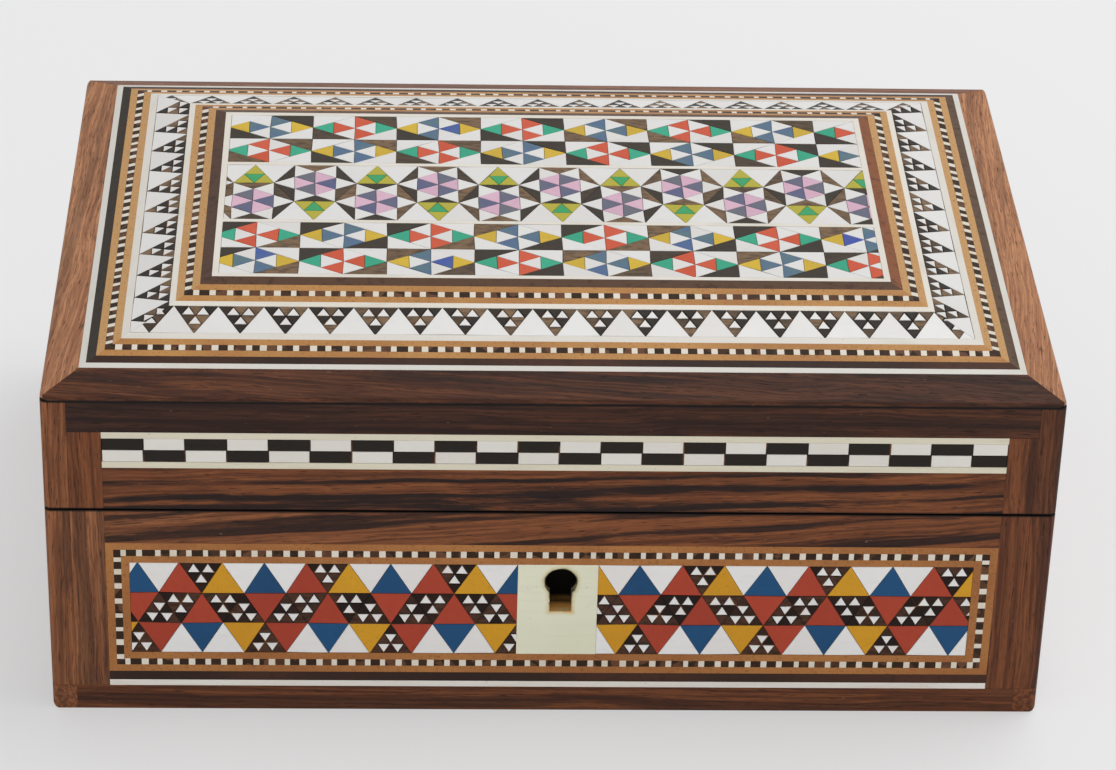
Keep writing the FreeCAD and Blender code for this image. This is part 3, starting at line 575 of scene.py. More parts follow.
def dark_line(name, on_lid):
    """Dark wood, black on the base; on the lid brown at the left and red-brown at the right."""
    material, place = new_finish(name)
    streaks = place.noise(720.0, 3.0, 0.6)
    colour = place.noise(26.0).step(0.35, 0.68).blend((0.03, 0.016, 0.012), (0.075, 0.03, 0.017))
    if on_lid:
        from_end, from_side = from_edges(place)
        inner = from_end.least(from_side).step(12.0 * mm, 16.0 * mm)
        colour = inner.blend(colour, (0.105, 0.054, 0.032))
        at_right = inner.blend((0.115, 0.068, 0.04), (0.245, 0.085, 0.034))
        at_left = inner.blend((0.036, 0.028, 0.02), (0.09, 0.047, 0.031))
        end = place.part("X").step(-1.0 * mm, 1.0 * mm).blend(at_left, at_right)
        colour = at_ends(place).blend(colour, end)
    colour = streaks.over(colour, 0.5, 0.7, 0.5, (0.03, 0.017, 0.013))
    return coated(material, colour, 0.36 + streaks * 0.2, 0.14, streaks, 0.02 * mm)


def orange_wood(name, pale, deep, pale_ends=None):
    """Orange wood with fine specks, paler at the ends of the lid."""
    material, place = new_finish(name)
    specks = place.noise(2400.0)
    colour = place.noise(70.0, 3.0).step(0.3, 0.7).blend(pale, deep)
    if pale_ends:
        colour = at_ends(place).blend(colour, pale_ends)
    colour = specks.over(colour, 0.56, 0.72, 0.55, tuple(0.5 * c for c in deep))
    colour = (1.0 - specks).over(colour, 0.62, 0.75, 0.35, tuple(1.3 * c for c in pale))
    return coated(material, colour, 0.38 + specks * 0.2, 0.32, specks, 0.02 * mm)


def dark_core(name):
    """Short blocks of near-black and brown wood, end to end."""
    material, place = new_finish(name)
    blocks = place.node("ShaderNodeTexVoronoi", None, {"Vector": place, "Scale": 520.0}, "Color")
    streaks = place.noise(2600.0)
    colour = blocks.part("X").step(0.45, 0.95).blend((0.03, 0.015, 0.0075), (0.135, 0.06, 0.03))
    colour = streaks.over(colour, 0.5, 0.75, 0.6, (0.056, 0.027, 0.014))
    return coated(material, colour, 0.4 + streaks * 0.15, 0.14, streaks, 0.02 * mm)


dress(orange_wood("base_orange", (0.42, 0.172, 0.044), (0.33, 0.12, 0.03)), "base_banding_wood")
dress(orange_wood("lid_orange", (0.51, 0.25, 0.068), (0.41, 0.178, 0.046), (0.54, 0.295, 0.105)),
      "lid_banding_wood")
dress(dark_core("dark_core"), "base_banding_core", "lid_banding_core")
for body in bodies:
    dress(dark_line(f"{body}_dark_line", body == "lid"), f"{body}_ebony_lines")


# Bone dots of the bandings: little blocks of bone let into the dark core at even steps, cut by
# hand, so no two have quite the same length. A row of them is laid along every core strip.

def new_shaper(name, **sizes):
    """An empty Geometry Nodes tree, and its inputs: a geometry, sizes, a seed and a finish."""
    tree = bpy.data.node_groups.new(name, "GeometryNodeTree")
    labels = {"Geometry": "Geometry", **sizes, "Seed": "Int", "Finish": "Material"}
    for label, kind in labels.items():
        tree.interface.new_socket(label, in_out="INPUT", socket_type="NodeSocket" + kind)
    tree.interface.new_socket("Geometry", in_out="OUTPUT", socket_type="NodeSocketGeometry")
    entry = tree.nodes.new("NodeGroupInput")
    return tree, [Wire(tree, entry.outputs[label]) for label in labels]


def close_shaper(geometry, material):
    """Ends a tree: the geometry is made real and gets its material."""
    solid = geometry.node("GeometryNodeRealizeInstances", None, {"Geometry": geometry})
    dressed = solid.node("GeometryNodeSetMaterial", None, {"Geometry": solid, "Material": material})
    dressed.plug(geometry.tree.nodes.new("NodeGroupOutput"), {0: dressed})


def shaped(tree, source, **values):
    """The plain mesh that a tree makes of a source mesh with these values."""
    holder = stood("holder", source)
    modifier = holder.modifiers.new("shape", "NODES")
    modifier.node_group = tree
    for item in tree.interface.items_tree:
        if item.in_out == "INPUT" and item.name in values:
            modifier[item.identifier] = values[item.name]
    bpy.context.view_layer.update()
    made = holder.evaluated_get(bpy.context.evaluated_depsgraph_get())
    mesh = bpy.data.meshes.new_from_object(made)
    holder.modifiers.remove(modifier)
    bpy.data.objects.remove(holder)
    bpy.data.meshes.remove(source)
    return mesh


def placed_on(name, points, edges, facings):
    """A mesh of points or lines that carries the outward direction at each point."""
    mesh = bpy.data.meshes.new(name)
    mesh.from_pydata(points, edges, [])
    flat = [value for facing in facings for value in facing]
    mesh.attributes.new("facing", "FLOAT_VECTOR", "POINT").data.foreach_set("vector", flat)
    return mesh


def stored(wire, label, kind="FLOAT_VECTOR"):
    return wire.node("GeometryNodeInputNamedAttribute", {"data_type": kind}, {"Name": label})


def chance(seed, low, high):
    """A random number between two, for each element."""
    return seed.node("FunctionNodeRandomValue", {"data_type": "FLOAT"},
                     {2: low, 3: high, "Seed": seed}, 1)


dot_pitch, dot_length, dot_sink, dot_proud = 2.52 * mm, 0.96 * mm, 0.5 * mm, 0.015 * mm
dot_stray, smallest_dot, largest_dot = 0.22 * mm, (0.78, 0.94, 1.0), (1.18, 1.0, 1.0)
banding_wood, banding_core = 1.25 * mm, 1.2 * mm
banding = 2 * banding_wood + banding_core
core_middle = banding_wood + banding_core / 2

dot_tree, (rows, pitch, length, width, depth, seed, finish) = new_shaper(
    "bone_dots", Pitch="Float", Length="Float", Width="Float", Depth="Float")
rows = rows.node("GeometryNodeMeshToCurve", None, {"Mesh": rows})
rows = rows.node("GeometryNodeResampleCurve", {"mode": "LENGTH"}, {"Curve": rows, "Length": pitch})
tangent = rows.node("GeometryNodeInputTangent")
stray = tangent.vector("SCALE", chance(seed, -dot_stray, dot_stray), "Scale")
rows = rows.node("GeometryNodeSetPosition", None, {"Geometry": rows, "Offset": stray})
turned = rows.node("FunctionNodeAlignRotationToVector", {"axis": "X"}, {"Vector": tangent})
turned = turned.node("FunctionNodeAlignRotationToVector", {"axis": "Z", "pivot_axis": "X"},
                     {"Rotation": turned, "Vector": stored(rows, "facing")})
block = rows.node("ShaderNodeCombineXYZ", None, {0: length, 1: width, 2: depth})
block = block.node("GeometryNodeMeshCube", None, {"Size": block})
uneven = rows.node("FunctionNodeRandomValue", {"data_type": "FLOAT_VECTOR"},
                   {0: smallest_dot, 1: largest_dot, "Seed": seed})
close_shaper(rows.node("GeometryNodeInstanceOnPoints", None, {
    "Points": rows, "Instance": block, "Rotation": turned, "Scale": uneven}), finish)

dot_bone = bone("dot_bone", (0.79, 0.725, 0.62), (0.71, 0.64, 0.51))


def lay_dots(name, body, lines, seed):
    """Dots along lines; a line is two end points and the outward direction."""
    points, facings = [], []
    for start, end, facing in lines:
        sunk = facing * (dot_proud - dot_sink / 2)
        points += [start + sunk, end + sunk]
        facings += [facing, facing]
    rows = placed_on(name, points, [(i, i + 1) for i in range(0, len(points), 2)], facings)
    mesh = shaped(dot_tree, rows, Pitch=dot_pitch, Length=dot_length, Width=banding_core,
                  Depth=dot_sink, Seed=seed, Finish=dot_bone)
    settled(mesh, name, body, "bone")


wall_lines, clear, slope_clear = [], 0.45 * dot_pitch, 0.6 * dot_pitch
for wall in inlaid_walls:
    u0, u1 = wall.inlay[0] + core_middle, wall.inlay[1] - core_middle
    low, high = frame_bottom + core_middle, frame_top - core_middle
    lines = [[(u0 + clear, z), (u1 - clear, z)] for z in (low, high)]
    lines += [[(u, low + clear), (u, high - clear)] for u in (u0, u1)]
    wall_lines += [(*wall.patch(line), -wall.inward) for line in lines]
lay_dots("base_banding_dots", "base", wall_lines, 5)

border_rise, panel_inset = 5.2 * mm, 25.7 * mm
panel_top = slope_start + border_rise
outer_bone_line, outer_ebony_line, border_bone_line = 1.05 * mm, 1.5 * mm, 1.25 * mm
border_triangle, inner_bone_line = 5.9 * mm, 1.0 * mm
outer_banding = moulding_width + outer_bone_line + outer_ebony_line
teeth_outer = outer_banding + banding + border_bone_line
teeth_inner = teeth_outer + border_triangle
inner_banding = teeth_inner + inner_bone_line


def on_slope(wall, u, inset):
    """A point of the sloping border at an inset from the box's edge."""
    rise = border_rise * (inset - moulding_width) / (panel_inset - moulding_width)
    return wall.at(u, inset, slope_start + rise)


slope_lines = []
for wall in all_walls:
    facing = (up * (panel_inset - moulding_width) - wall.inward * border_rise).normalized()
    for inset in (outer_banding + core_middle, inner_banding + core_middle):
        u = wall.half - inset - slope_clear
        slope_lines.append((on_slope(wall, -u, inset), on_slope(wall, u, inset), facing))
lay_dots("lid_banding_dots", "lid", slope_lines, 6)


# Mosaic of the base: three rows of small triangles of stained wood and shell in glue, between the
# bandings. A dark triangle is itself made of nine tiny ones, six of dark wood and three of shell.

tile_tree, (tiles, gap, depth, edge, relief, seed, finish) = new_shaper(
    "tesserae", Gap="Float", Depth="Float", Edge="Float", Relief="Float")
inradius_share, weld = 0.44, 0.0005 * mm
tiles = tiles.node("GeometryNodeStoreNamedAttribute", {"data_type": "FLOAT", "domain": "FACE"},
                   {"Geometry": tiles, "Name": "shade", "Value": chance(seed, 0.0, 1.0)})
tiles = tiles.node("GeometryNodeSplitEdges", None, {"Mesh": tiles})
inradius = tiles.node("GeometryNodeInputMeshFaceArea").root() * inradius_share
tiles = tiles.node("GeometryNodeScaleElements", {"domain": "FACE"},
                   {"Geometry": tiles, "Scale": 1.0 - gap / inradius})
sink = tiles.node("GeometryNodeInputNormal").vector("SCALE", 0.0 - depth, "Scale")
tiles = tiles.node("GeometryNodeSetPosition", None, {"Geometry": tiles, "Offset": sink})
rise = depth - edge - relief * stored(tiles, "shade", "FLOAT")
cap = tiles.node("GeometryNodeExtrudeMesh", {"mode": "FACES"},
                 {"Mesh": tiles, "Offset Scale": rise})
top = Wire(tile_tree, cap.socket.node.outputs["Top"])
cap = cap.node("GeometryNodeExtrudeMesh", {"mode": "FACES"},
               {"Mesh": cap, "Selection": top, "Offset Scale": edge})
top = Wire(tile_tree, cap.socket.node.outputs["Top"])
cap = cap.node("GeometryNodeScaleElements", {"domain": "FACE"},
               {"Geometry": cap, "Selection": top, "Scale": 1.0 - edge / inradius})
under = tiles.node("GeometryNodeFlipFaces", None, {"Mesh": tiles})
solid = cap.node("GeometryNodeJoinGeometry", None, {0: [cap, under]})
solid = solid.node("GeometryNodeMergeByDistance", None, {"Geometry": solid, "Distance": weld})
close_shaper(solid, finish)


def clipped(points, normal, limit):
    """The part of a convex outline where its dot product with normal is at most limit."""
    kept = []
    for index, (px, py) in enumerate(points):
        qx, qy = points[index - 1]
        p_side, q_side = [x * normal[0] + y * normal[1] - limit for x, y in ((px, py), (qx, qy))]
        if (p_side > 0) != (q_side > 0):
            share = q_side / (q_side - p_side)
            kept.append((qx + share * (px - qx), qy + share * (py - qy)))
        if p_side <= 0:
            kept.append((px, py))
    return kept


smallest_tessera = 0.06 * mm * mm


def trimmed(tiles, edges):
    """Tiles cut to a convex region, without slivers."""
    result = []
    for colour, points in tiles:
        for normal, limit in edges:
            points = clipped(points, normal, limit)
        sides = [(points[i - 1], p) for i, p in enumerate(points)]
        doubled = sum(p[0] * q[1] - q[0] * p[1] for p, q in sides)
        if len(points) > 2 and abs(doubled) / 2 > smallest_tessera:
            result.append((colour, points))
    return result


def rectangle_edges(u0, u1, v0, v1):
    return [((-1, 0), -u0), ((1, 0), u1), ((0, -1), -v0), ((0, 1), v1)]


shell_share = 0.84


def ninths(a, b, c):
    """A dark triangle made of nine: six upright dark ones and three turned ones of shell."""
    def grid(i, j):
        return tuple(a[k] + (b[k] - a[k]) * i / 3 + (c[k] - a[k]) * j / 3 for k in (0, 1))
    made = []
    for i in range(3):
        for j in range(3 - i):
            made.append(("ebony", [grid(i, j), grid(i + 1, j), grid(i, j + 1)]))
            if i + j < 2:
                turned = [grid(i + 1, j), grid(i + 1, j + 1), grid(i, j + 1)]
                middle = [sum(p[k] for p in turned) / 3 for k in (0, 1)]
                made.append(("pearl", [tuple(m + shell_share * (u - m) for u, m in zip(p, middle))
                                       for p in turned]))
    return made


strays, hand = {}, random.Random(17)
stray_cell, largest_stray = 0.23 * mm, 0.1 * mm


def by_eye(points):
    """Corners as they were set by eye: a corner that pieces share strays alike in all of them."""
    result = []
    for point in points:
        key = tuple(round(c / stray_cell) for c in point)
        if key not in strays:
            strays[key] = [hand.uniform(-largest_stray, largest_stray) for _ in point]
        result.append(tuple(c + stray for c, stray in zip(point, strays[key])))
    return result


mosaic_bottom, mosaic_top = frame_bottom + banding, frame_top - banding
mosaic_row, triangle_pitch = (mosaic_top - mosaic_bottom) / 3, 6.72 * mm


def triangle_mosaic(u0, u1, first_apex):
    """Three rows of equal triangles, every third column the same, cut to u0 and u1."""
    columns = [("blue", "red", "yellow"), ("red", "ebony", "ebony"), ("ebony", "pearl", "pearl")]
    between = [("pearl", "ebony", "pearl"), ("ebony", "red", "ebony"), ("red", "blue", "yellow")]
    tiles = []
    half = triangle_pitch / 2
    for row in range(3):
        high = mosaic_top - row * mosaic_row
        low = high - mosaic_row
        base, apex = (low, high) if row % 2 == 0 else (high, low)
        for column in range(-3, int((u1 - u0) / triangle_pitch) + 4):
            x = first_apex + column * triangle_pitch
            for colours, points in ((columns, [(x, apex), (x - half, base), (x + half, base)]),
                                    (between, [(x, apex), (x + half, base), (x + 2 * half, apex)])):
                colour, points = colours[row][column % 3], by_eye(points)
                tiles += ninths(*points) if colour == "ebony" else [(colour, points)]
    return trimmed(tiles, rectangle_edges(u0, u1, mosaic_bottom, mosaic_top))


tessera_gap, tessera_edge, tessera_relief = 0.035 * mm, 0.05 * mm, 0.03 * mm


def lay_tesserae(name, body, outlines, outward, material, slot, seed, *nodes,
                 depth=veneer, gap=tessera_gap):
    """One colour of tesserae from flat outlines in space, as one piece."""
    points, faces = [], []
    for outline in outlines:
        corner = outline[0]
        turns = [(outline[i - 1] - corner).cross(p - corner) for i, p in enumerate(outline)]
        normal = sum(turns, Vector())
        faces.append(range(len(points), len(points) + len(outline)))
        points += outline if normal.dot(outward(corner)) > 0 else outline[::-1]
    flat = bpy.data.meshes.new(name)
    flat.from_pydata(points, [], faces)
    mesh = shaped(tile_tree, flat, Gap=gap, Depth=depth, Edge=tessera_edge, Relief=tessera_relief,
                  Seed=seed, Finish=material)
    settled(mesh, name, body, slot, *nodes)


def stained(name, colour, other, share=1.0, in_stars=None):
    """Stained wood under lacquer: each tessera has its own shade between two colours.

    In the middle row of the lid it may be another stain.
    """
    material, place = new_finish(name)
    clouds, specks = place.noise(420.0, 3.0), place.noise(2600.0)
    shade = attribute(place, "shade").step(1.0 - share, 1.0)
    mixed = (shade * 0.75 + clouds.step(0.3, 0.7) * 0.25).blend(colour, other)
    if in_stars:
        mixed = place.part("Y").size().step(9.0 * mm, 9.2 * mm).blend(in_stars, mixed)
    mixed = specks.over(mixed, 0.58, 0.74, 0.35, tuple(0.45 * c for c in colour))
    return coated(material, mixed, 0.3 + specks * 0.2, 0.28, specks, 0.015 * mm)


def shell(name, bright, dull):
    """White shell: pieces differ in whiteness, with faint growth lines and a soft sheen."""
    material, place = new_finish(name)
    clouds, lines = place.noise(160.0, 3.0), place.grained((300.0, 520.0, 900.0), 3.0)
    shade = attribute(place, "shade").step(0.45, 1.0)
    colour = (shade * 0.7 + clouds.step(0.4, 0.8) * 0.3).blend(bright, dull)
    colour = lines.over(colour, 0.52, 0.75, 0.22, (0.7, 0.665, 0.65))
    return coated(material, colour, 0.24 + clouds * 0.14, 0.45, lines, 0.012 * mm)


def dark_tessera(name, black, brown, black_share, gloss, on_slopes=None):
    """Dark wood with fine grain: a share of the pieces black, the others more or less brown."""
    material, place = new_finish(name)
    streaks = place.grained((500.0, 1500.0), 3.0, 0.6)
    darkest = tuple(0.8 * c for c in black)
    if on_slopes:
        on_panel = place.part("Z").step(panel_top - 0.8 * mm, panel_top - 0.4 * mm)
        black = on_panel.blend(on_slopes, black)
    colour = attribute(place, "shade").step(black_share, black_share + 0.4).blend(black, brown)
    colour = streaks.over(colour, 0.42, 0.66, 0.65, darkest)
    return coated(material, colour, 0.36 + streaks * 0.2, gloss, streaks, 0.015 * mm)


def dark_glue(name):
    """Glue mixed with wood dust, dark and grainy, with amber where it is thin."""
    material, place = new_finish(name)
    thin, grit = place.noise(330.0, 3.0), place.noise(3000.0)
    colour = thin.step(0.45, 0.7).blend((0.02, 0.013, 0.01), (0.19, 0.08, 0.026))
    return coated(material, colour, 0.55 + grit * 0.3, 0.2, grit, 0.03 * mm, 0.6)


glue, glue_level, glue_depth = dark_glue("dark_glue"), 0.1 * mm, 0.6 * mm


def finishes(group, ebony, pearl, **stains):
    """The finish of every colour of a mosaic."""
    made = {colour: stained(f"{group}_{colour}", *shades) for colour, shades in stains.items()}
    made["ebony"] = dark_tessera(f"{group}_ebony", *ebony)
    made["pearl"] = shell(f"{group}_pearl", *pearl)
    return made


def lay_mosaic(body, pattern, pieces, by_colour, looks, beds, outward, seed, gap=tessera_gap):
    """All tesserae of a pattern, and the glue that they sit in, a little below their faces."""
    for number, colour in enumerate(sorted(by_colour)):
        slot = colour if colour in ("ebony", "pearl") else f"{colour}_tesserae"
        lay_tesserae(f"{pieces}_{colour}", body, by_colour[colour], outward, looks[colour], slot,
                     seed + number, f"{pattern}_{colour}", gap=gap)
    sunk = [[p - outward(p) * glue_level for p in outline] for outline in beds]
    lay_tesserae(f"{pattern}_glue", body, sunk, outward, glue, "ebony", seed + 8, depth=glue_depth)


def off_the_wall(point):
    """The outward direction of the wall that a point lies on."""
    return -min(inlaid_walls, key=lambda wall: abs(point.dot(wall.inward) + wall.reach)).inward


base_looks = finishes(
    "base", ((0.017, 0.0085, 0.0062), (0.078, 0.035, 0.021), 0.3, 0.12),
    ((0.825, 0.82, 0.797), (0.775, 0.742, 0.712)),
    blue=((0.003, 0.072, 0.19), (0.002, 0.055, 0.15)),
    red=((0.425, 0.05, 0.019), (0.345, 0.038, 0.015)),
    yellow=((0.66, 0.325, 0.01), (0.59, 0.275, 0.008)))
escutcheon_left, escutcheon_right, left_strip_start = -5.2 * mm, 7.6 * mm, 1.25 * mm
by_colour, beds = {}, []
for wall in inlaid_walls:
    u0, u1 = wall.inlay[0] + banding, wall.inlay[1] - banding
    strips = [(u0, u1, u0 + left_strip_start)]
    if wall is front:
        strips = [(u0, escutcheon_left, u0 + left_strip_start),
                  (escutcheon_right, u1, escutcheon_right + triangle_pitch)]
    for a, b, first_apex in strips:
        beds.append(wall.patch(rectangle(a, b, mosaic_bottom, mosaic_top)))
        for colour, points in triangle_mosaic(a, b, first_apex):
            by_colour.setdefault(colour, []).append(wall.patch(points))
lay_mosaic("base", "base_mosaic", "base_tesserae", by_colour, base_looks, beds, off_the_wall, 30)


# Checkered band of the lid: two rows of flat bars, dark wood and shell in turn, between the bone
# lines on the front and the two ends.

checker_line, checker_row, checker_pitch, checker_gap = 1.1 * mm, 2.15 * mm, 6.495 * mm, 0.06 * mm
bars, beds = {"ebony": [], "pearl": []}, []
low, high = checker_bottom + checker_line, checker_top - checker_line
for wall in inlaid_walls:
    u0, u1 = wall.inlay
    beds.append(wall.patch(rectangle(u0, u1, low, high)))
    for row in range(2):
        foot = low + row * checker_row
        for column in range(math.ceil((u1 - u0) / checker_pitch)):
            a = u0 + column * checker_pitch
            bar = rectangle(a, min(a + checker_pitch, u1), foot, foot + checker_row)
            bars["ebony" if (row + column) % 2 else "pearl"].append(wall.patch(bar))
bar_looks = finishes("checker", ((0.0165, 0.0115, 0.0085), (0.075, 0.04, 0.028), 0.85, 0.18),
                     ((0.775, 0.745, 0.685), (0.725, 0.69, 0.615)))
lay_mosaic("lid", "lid_checker", "lid_checker_bars", bars, bar_looks, beds, off_the_wall, 40,
           checker_gap)


# Mosaic of the lid: a row of dark teeth in shell on the slopes, and on the flat panel two double
# rows of lozenges with wheels of six pieces round a middle row of star hexagons.

lid_looks = finishes(
    "lid", ((0.044, 0.034, 0.023), (0.215, 0.132, 0.07), 0.45, 0.2, (0.02, 0.0135, 0.009)),
    ((0.782, 0.775, 0.748), (0.722, 0.7, 0.668)),
    yellow=((0.71, 0.475, 0.032), (0.58, 0.385, 0.032), 1.0, (0.47, 0.42, 0.04)),
    blue=((0.1, 0.18, 0.21), (0.03, 0.06, 0.44), 0.16),
    green=((0.026, 0.36, 0.212), (0.038, 0.42, 0.252), 1.0, (0.038, 0.365, 0.135)),
    red=((0.59, 0.08, 0.028), (0.66, 0.104, 0.045)),
    pink=((0.735, 0.475, 0.59), (0.655, 0.41, 0.52)),
    slate=((0.15, 0.155, 0.18), (0.095, 0.105, 0.235)))
border_pitch = 7.1 * mm
border_shifts = {"front": 3.8 * mm, "right": 5.3 * mm, "back": 4.0 * mm, "left": 4.9 * mm}
panel_line, row_line, lozenge_height = 1.0 * mm, 0.9 * mm, 8.5 * mm
star_half_width, star_start = 6.78 * mm, 4.6 * mm


def lozenge_cell(x, y, w, tip, wheel, pearl_first, wheel_first):
    """A lozenge in a rectangle: two tips, a six-piece wheel and four corners."""
    h = lozenge_height
    first, second = ("pearl", "ebony") if pearl_first else ("ebony", "pearl")
    middle, left, right = [(x + share * w, y + h / 2) for share in (0.5, 0, 1)]
    low, high = (x + w / 2, y), (x + w / 2, y + h)
    rim = [(x + w / 4, y + 3 * h / 4), (x + w / 4, y + h / 4), low, (x + 3 * w / 4, y + h / 4),
           (x + 3 * w / 4, y + 3 * h / 4), high]
    spokes = (wheel, "pearl") if wheel_first else ("pearl", wheel)
    return [(first, [left, (x, y + h), high]), (second, [high, (x + w, y + h), right]),
            (second, [low, (x, y), left]), (first, [right, (x + w, y), low]),
            (tip, [left, rim[1], rim[0]]), (tip, [right, rim[4], rim[3]]),
            *[(spokes[i % 2], [middle, rim[i], rim[(i + 1) % 6]]) for i in range(6)]]


def set_by_eye(tiles, x1, low, high):
    """Tiles of the panel with their corners set by eye, cut to a row."""
    tiles = [(colour, by_eye(points)) for colour, points in tiles]
    return trimmed(tiles, rectangle_edges(-x1, x1, low, high))


def lozenge_row(start, y, width, x1, looks, pearl_first, turns):
    """A row of lozenges in two alternating colourings; turns says which wheels are turned."""
    tiles = []
    for index in range(math.ceil((x1 - start) / width)):
        tiles += lozenge_cell(start + index * width, y, width, *looks[index % 2], pearl_first,
                              turns[index] == "1")
    return set_by_eye(tiles, x1, y, y + lozenge_height)


def star_hexagon(x, y, h, pink_first):
    """A six-pointed star in a hexagon, with a pink and slate wheel at its heart."""
    a = star_half_width
    points = [(x + a, y), (x + a / 2, y + h), (x - a / 2, y + h),
              (x - a, y), (x - a / 2, y - h), (x + a / 2, y - h)]
    heart = [(x + a / 2, y + h / 3), (x, y + 2 * h / 3), (x - a / 2, y + h / 3),
             (x - a / 2, y - h / 3), (x, y - 2 * h / 3), (x + a / 2, y - h / 3)]
    spokes = ("pink", "slate") if pink_first else ("slate", "pink")
    tiles = []
    for i in range(6):
        tiles += [("ebony", [points[i], points[(i + 1) % 6], heart[i]]),
                  ("pearl", [points[i], heart[i], heart[i - 1]]),
                  (spokes[i % 2], [(x, y), heart[i - 1], heart[i]])]
    return tiles


def star_gap(x, y, rise):
    """The three triangles beside a hexagon: a yellow one set with green, two of shell."""
    a = star_half_width
    foot, heel, tip = (x - a / 2, y), (x + a / 2, y), (x, y + rise)
    before, after, below = (x - a / 4, y + rise / 2), (x + a / 4, y + rise / 2), (x, y)
    return [("pearl", [foot, tip, (x - a, y + rise)]), ("pearl", [heel, (x + a, y + rise), tip]),
            ("yellow", [foot, below, before]), ("yellow", [below, heel, after]),
            ("yellow", [before, after, tip]), ("green", [below, after, before])]


def star_row(low, high, x1, turns):
    """Star hexagons set alternately low and high; turns says which wheels are turned."""
    h = (high - low) / 3
    pitch = 1.5 * star_half_width
    tiles = []
    for index in range(-1, math.ceil((2 * x1 - star_start) / pitch) + 1):
        x = star_start - x1 + index * pitch
        y, gap_y, rise = (low + h, low + 2 * h, h) if index % 2 == 0 else (high - h, low + h, -h)
        tiles += star_hexagon(x, y, h, turns[index % len(turns)] == "1") + star_gap(x, gap_y, rise)
    return set_by_eye(tiles, x1, low, high)


by_colour, beds = {}, []
for wall in all_walls:
    count, tiles = math.ceil(wall.half / border_pitch) + 1, []
    for step in range(-count, count):
        u = border_shifts[wall.name] + step * border_pitch
        middle, end = u + border_pitch / 2, u + border_pitch
        tiles += ninths(*by_eye([(u, teeth_inner), (end, teeth_inner), (middle, teeth_outer)]))
        tiles.append(("pearl", by_eye([(middle, teeth_outer), (end, teeth_inner),
                                       (u + 3 * border_pitch / 2, teeth_outer)])))
    beds.append([on_slope(wall, end * (wall.half - inset), inset)
                 for end, inset in rectangle(-1, 1, teeth_outer, teeth_inner)])
    mitres = [((1, 1), wall.half), ((-1, 1), wall.half),
              ((0, -1), -teeth_outer), ((0, 1), teeth_inner)]
    for colour, points in trimmed(tiles, mitres):
        by_colour.setdefault(colour, []).append([on_slope(wall, u, inset) for u, inset in points])

x1, y1 = half_width - panel_inset - panel_line, half_depth - panel_inset - panel_line
star_low, star_high = 2 * lozenge_height + row_line - y1, y1 - 2 * lozenge_height - row_line
gold, rose = ("yellow", "blue"), ("green", "red")
tiles = []
for start, y, width, looks, pearl_first, turns in (
        (1.45 * mm, -y1, 14.15 * mm, (gold, rose), False, "10010011"),
        (1.45 * mm, lozenge_height - y1, 14.15 * mm, (rose, gold), False, "01101001"),
        (0.35 * mm, star_high + row_line, 14.27 * mm, (rose, gold), True, "01110011"),
        (0.35 * mm, y1 - lozenge_height, 14.27 * mm, (gold, rose), True, "11010001")):
    tiles += lozenge_row(-x1 - start, y, width, x1, looks, pearl_first, turns)
tiles += star_row(star_low, star_high, x1, "000111100000")
for colour, points in tiles:
    by_colour.setdefault(colour, []).append([Vector((x, y, panel_top)) for x, y in points])
for low, high in ((-y1, star_low - row_line), (star_low, star_high), (star_high + row_line, y1)):
    beds.append([Vector((x, y, panel_top)) for x, y in rectangle(-x1, x1, low, high)])
lay_mosaic("lid", "lid_mosaic", "lid_tesserae", by_colour, lid_looks, beds, lambda point: up, 50)


# Velvet lining: dark red velvet glued over the floor, round the inner walls and into the lid. The
# wall bands are single strips that go round all four sides, cut out round the lock plate.

inner_x, inner_y = 72.8 * mm, 46.8 * mm
lining, floor_level, ceiling = 0.8 * mm, 4.0 * mm, 55.2 * mm
rim_swell, mean_swell, swell_wave = 0.45, 0.93, 0.07


def velvet(name):
    material, place = new_finish(name)
    nap, pile = place.noise(140.0, 3.0), place.noise(4200.0)
    colour = nap.step(0.3, 0.75).blend((0.205, 0.01, 0.016), (0.125, 0.006, 0.011))
    colour = pile.over(colour, 0.5, 0.75, 0.5, (0.055, 0.003, 0.006))
    sheen = {"Sheen Weight": 0.55, "Sheen Roughness": 0.4, "Sheen Tint": (0.75, 0.12, 0.15, 1.0)}
    relief = pile * 0.7 + nap * 0.6
    return coated(material, colour, 0.85 + pile * 0.1, 0.15, relief, 0.12 * mm, 0.8, **sheen)


red_velvet = velvet("red_velvet")


def steps(low, high, count):
    return [low + (high - low) * i / count for i in range(count + 1)]


def as_mesh(shape, name):
    mesh = bpy.data.meshes.new(name)
    shape.to_mesh(mesh)
    shape.free()
    return mesh


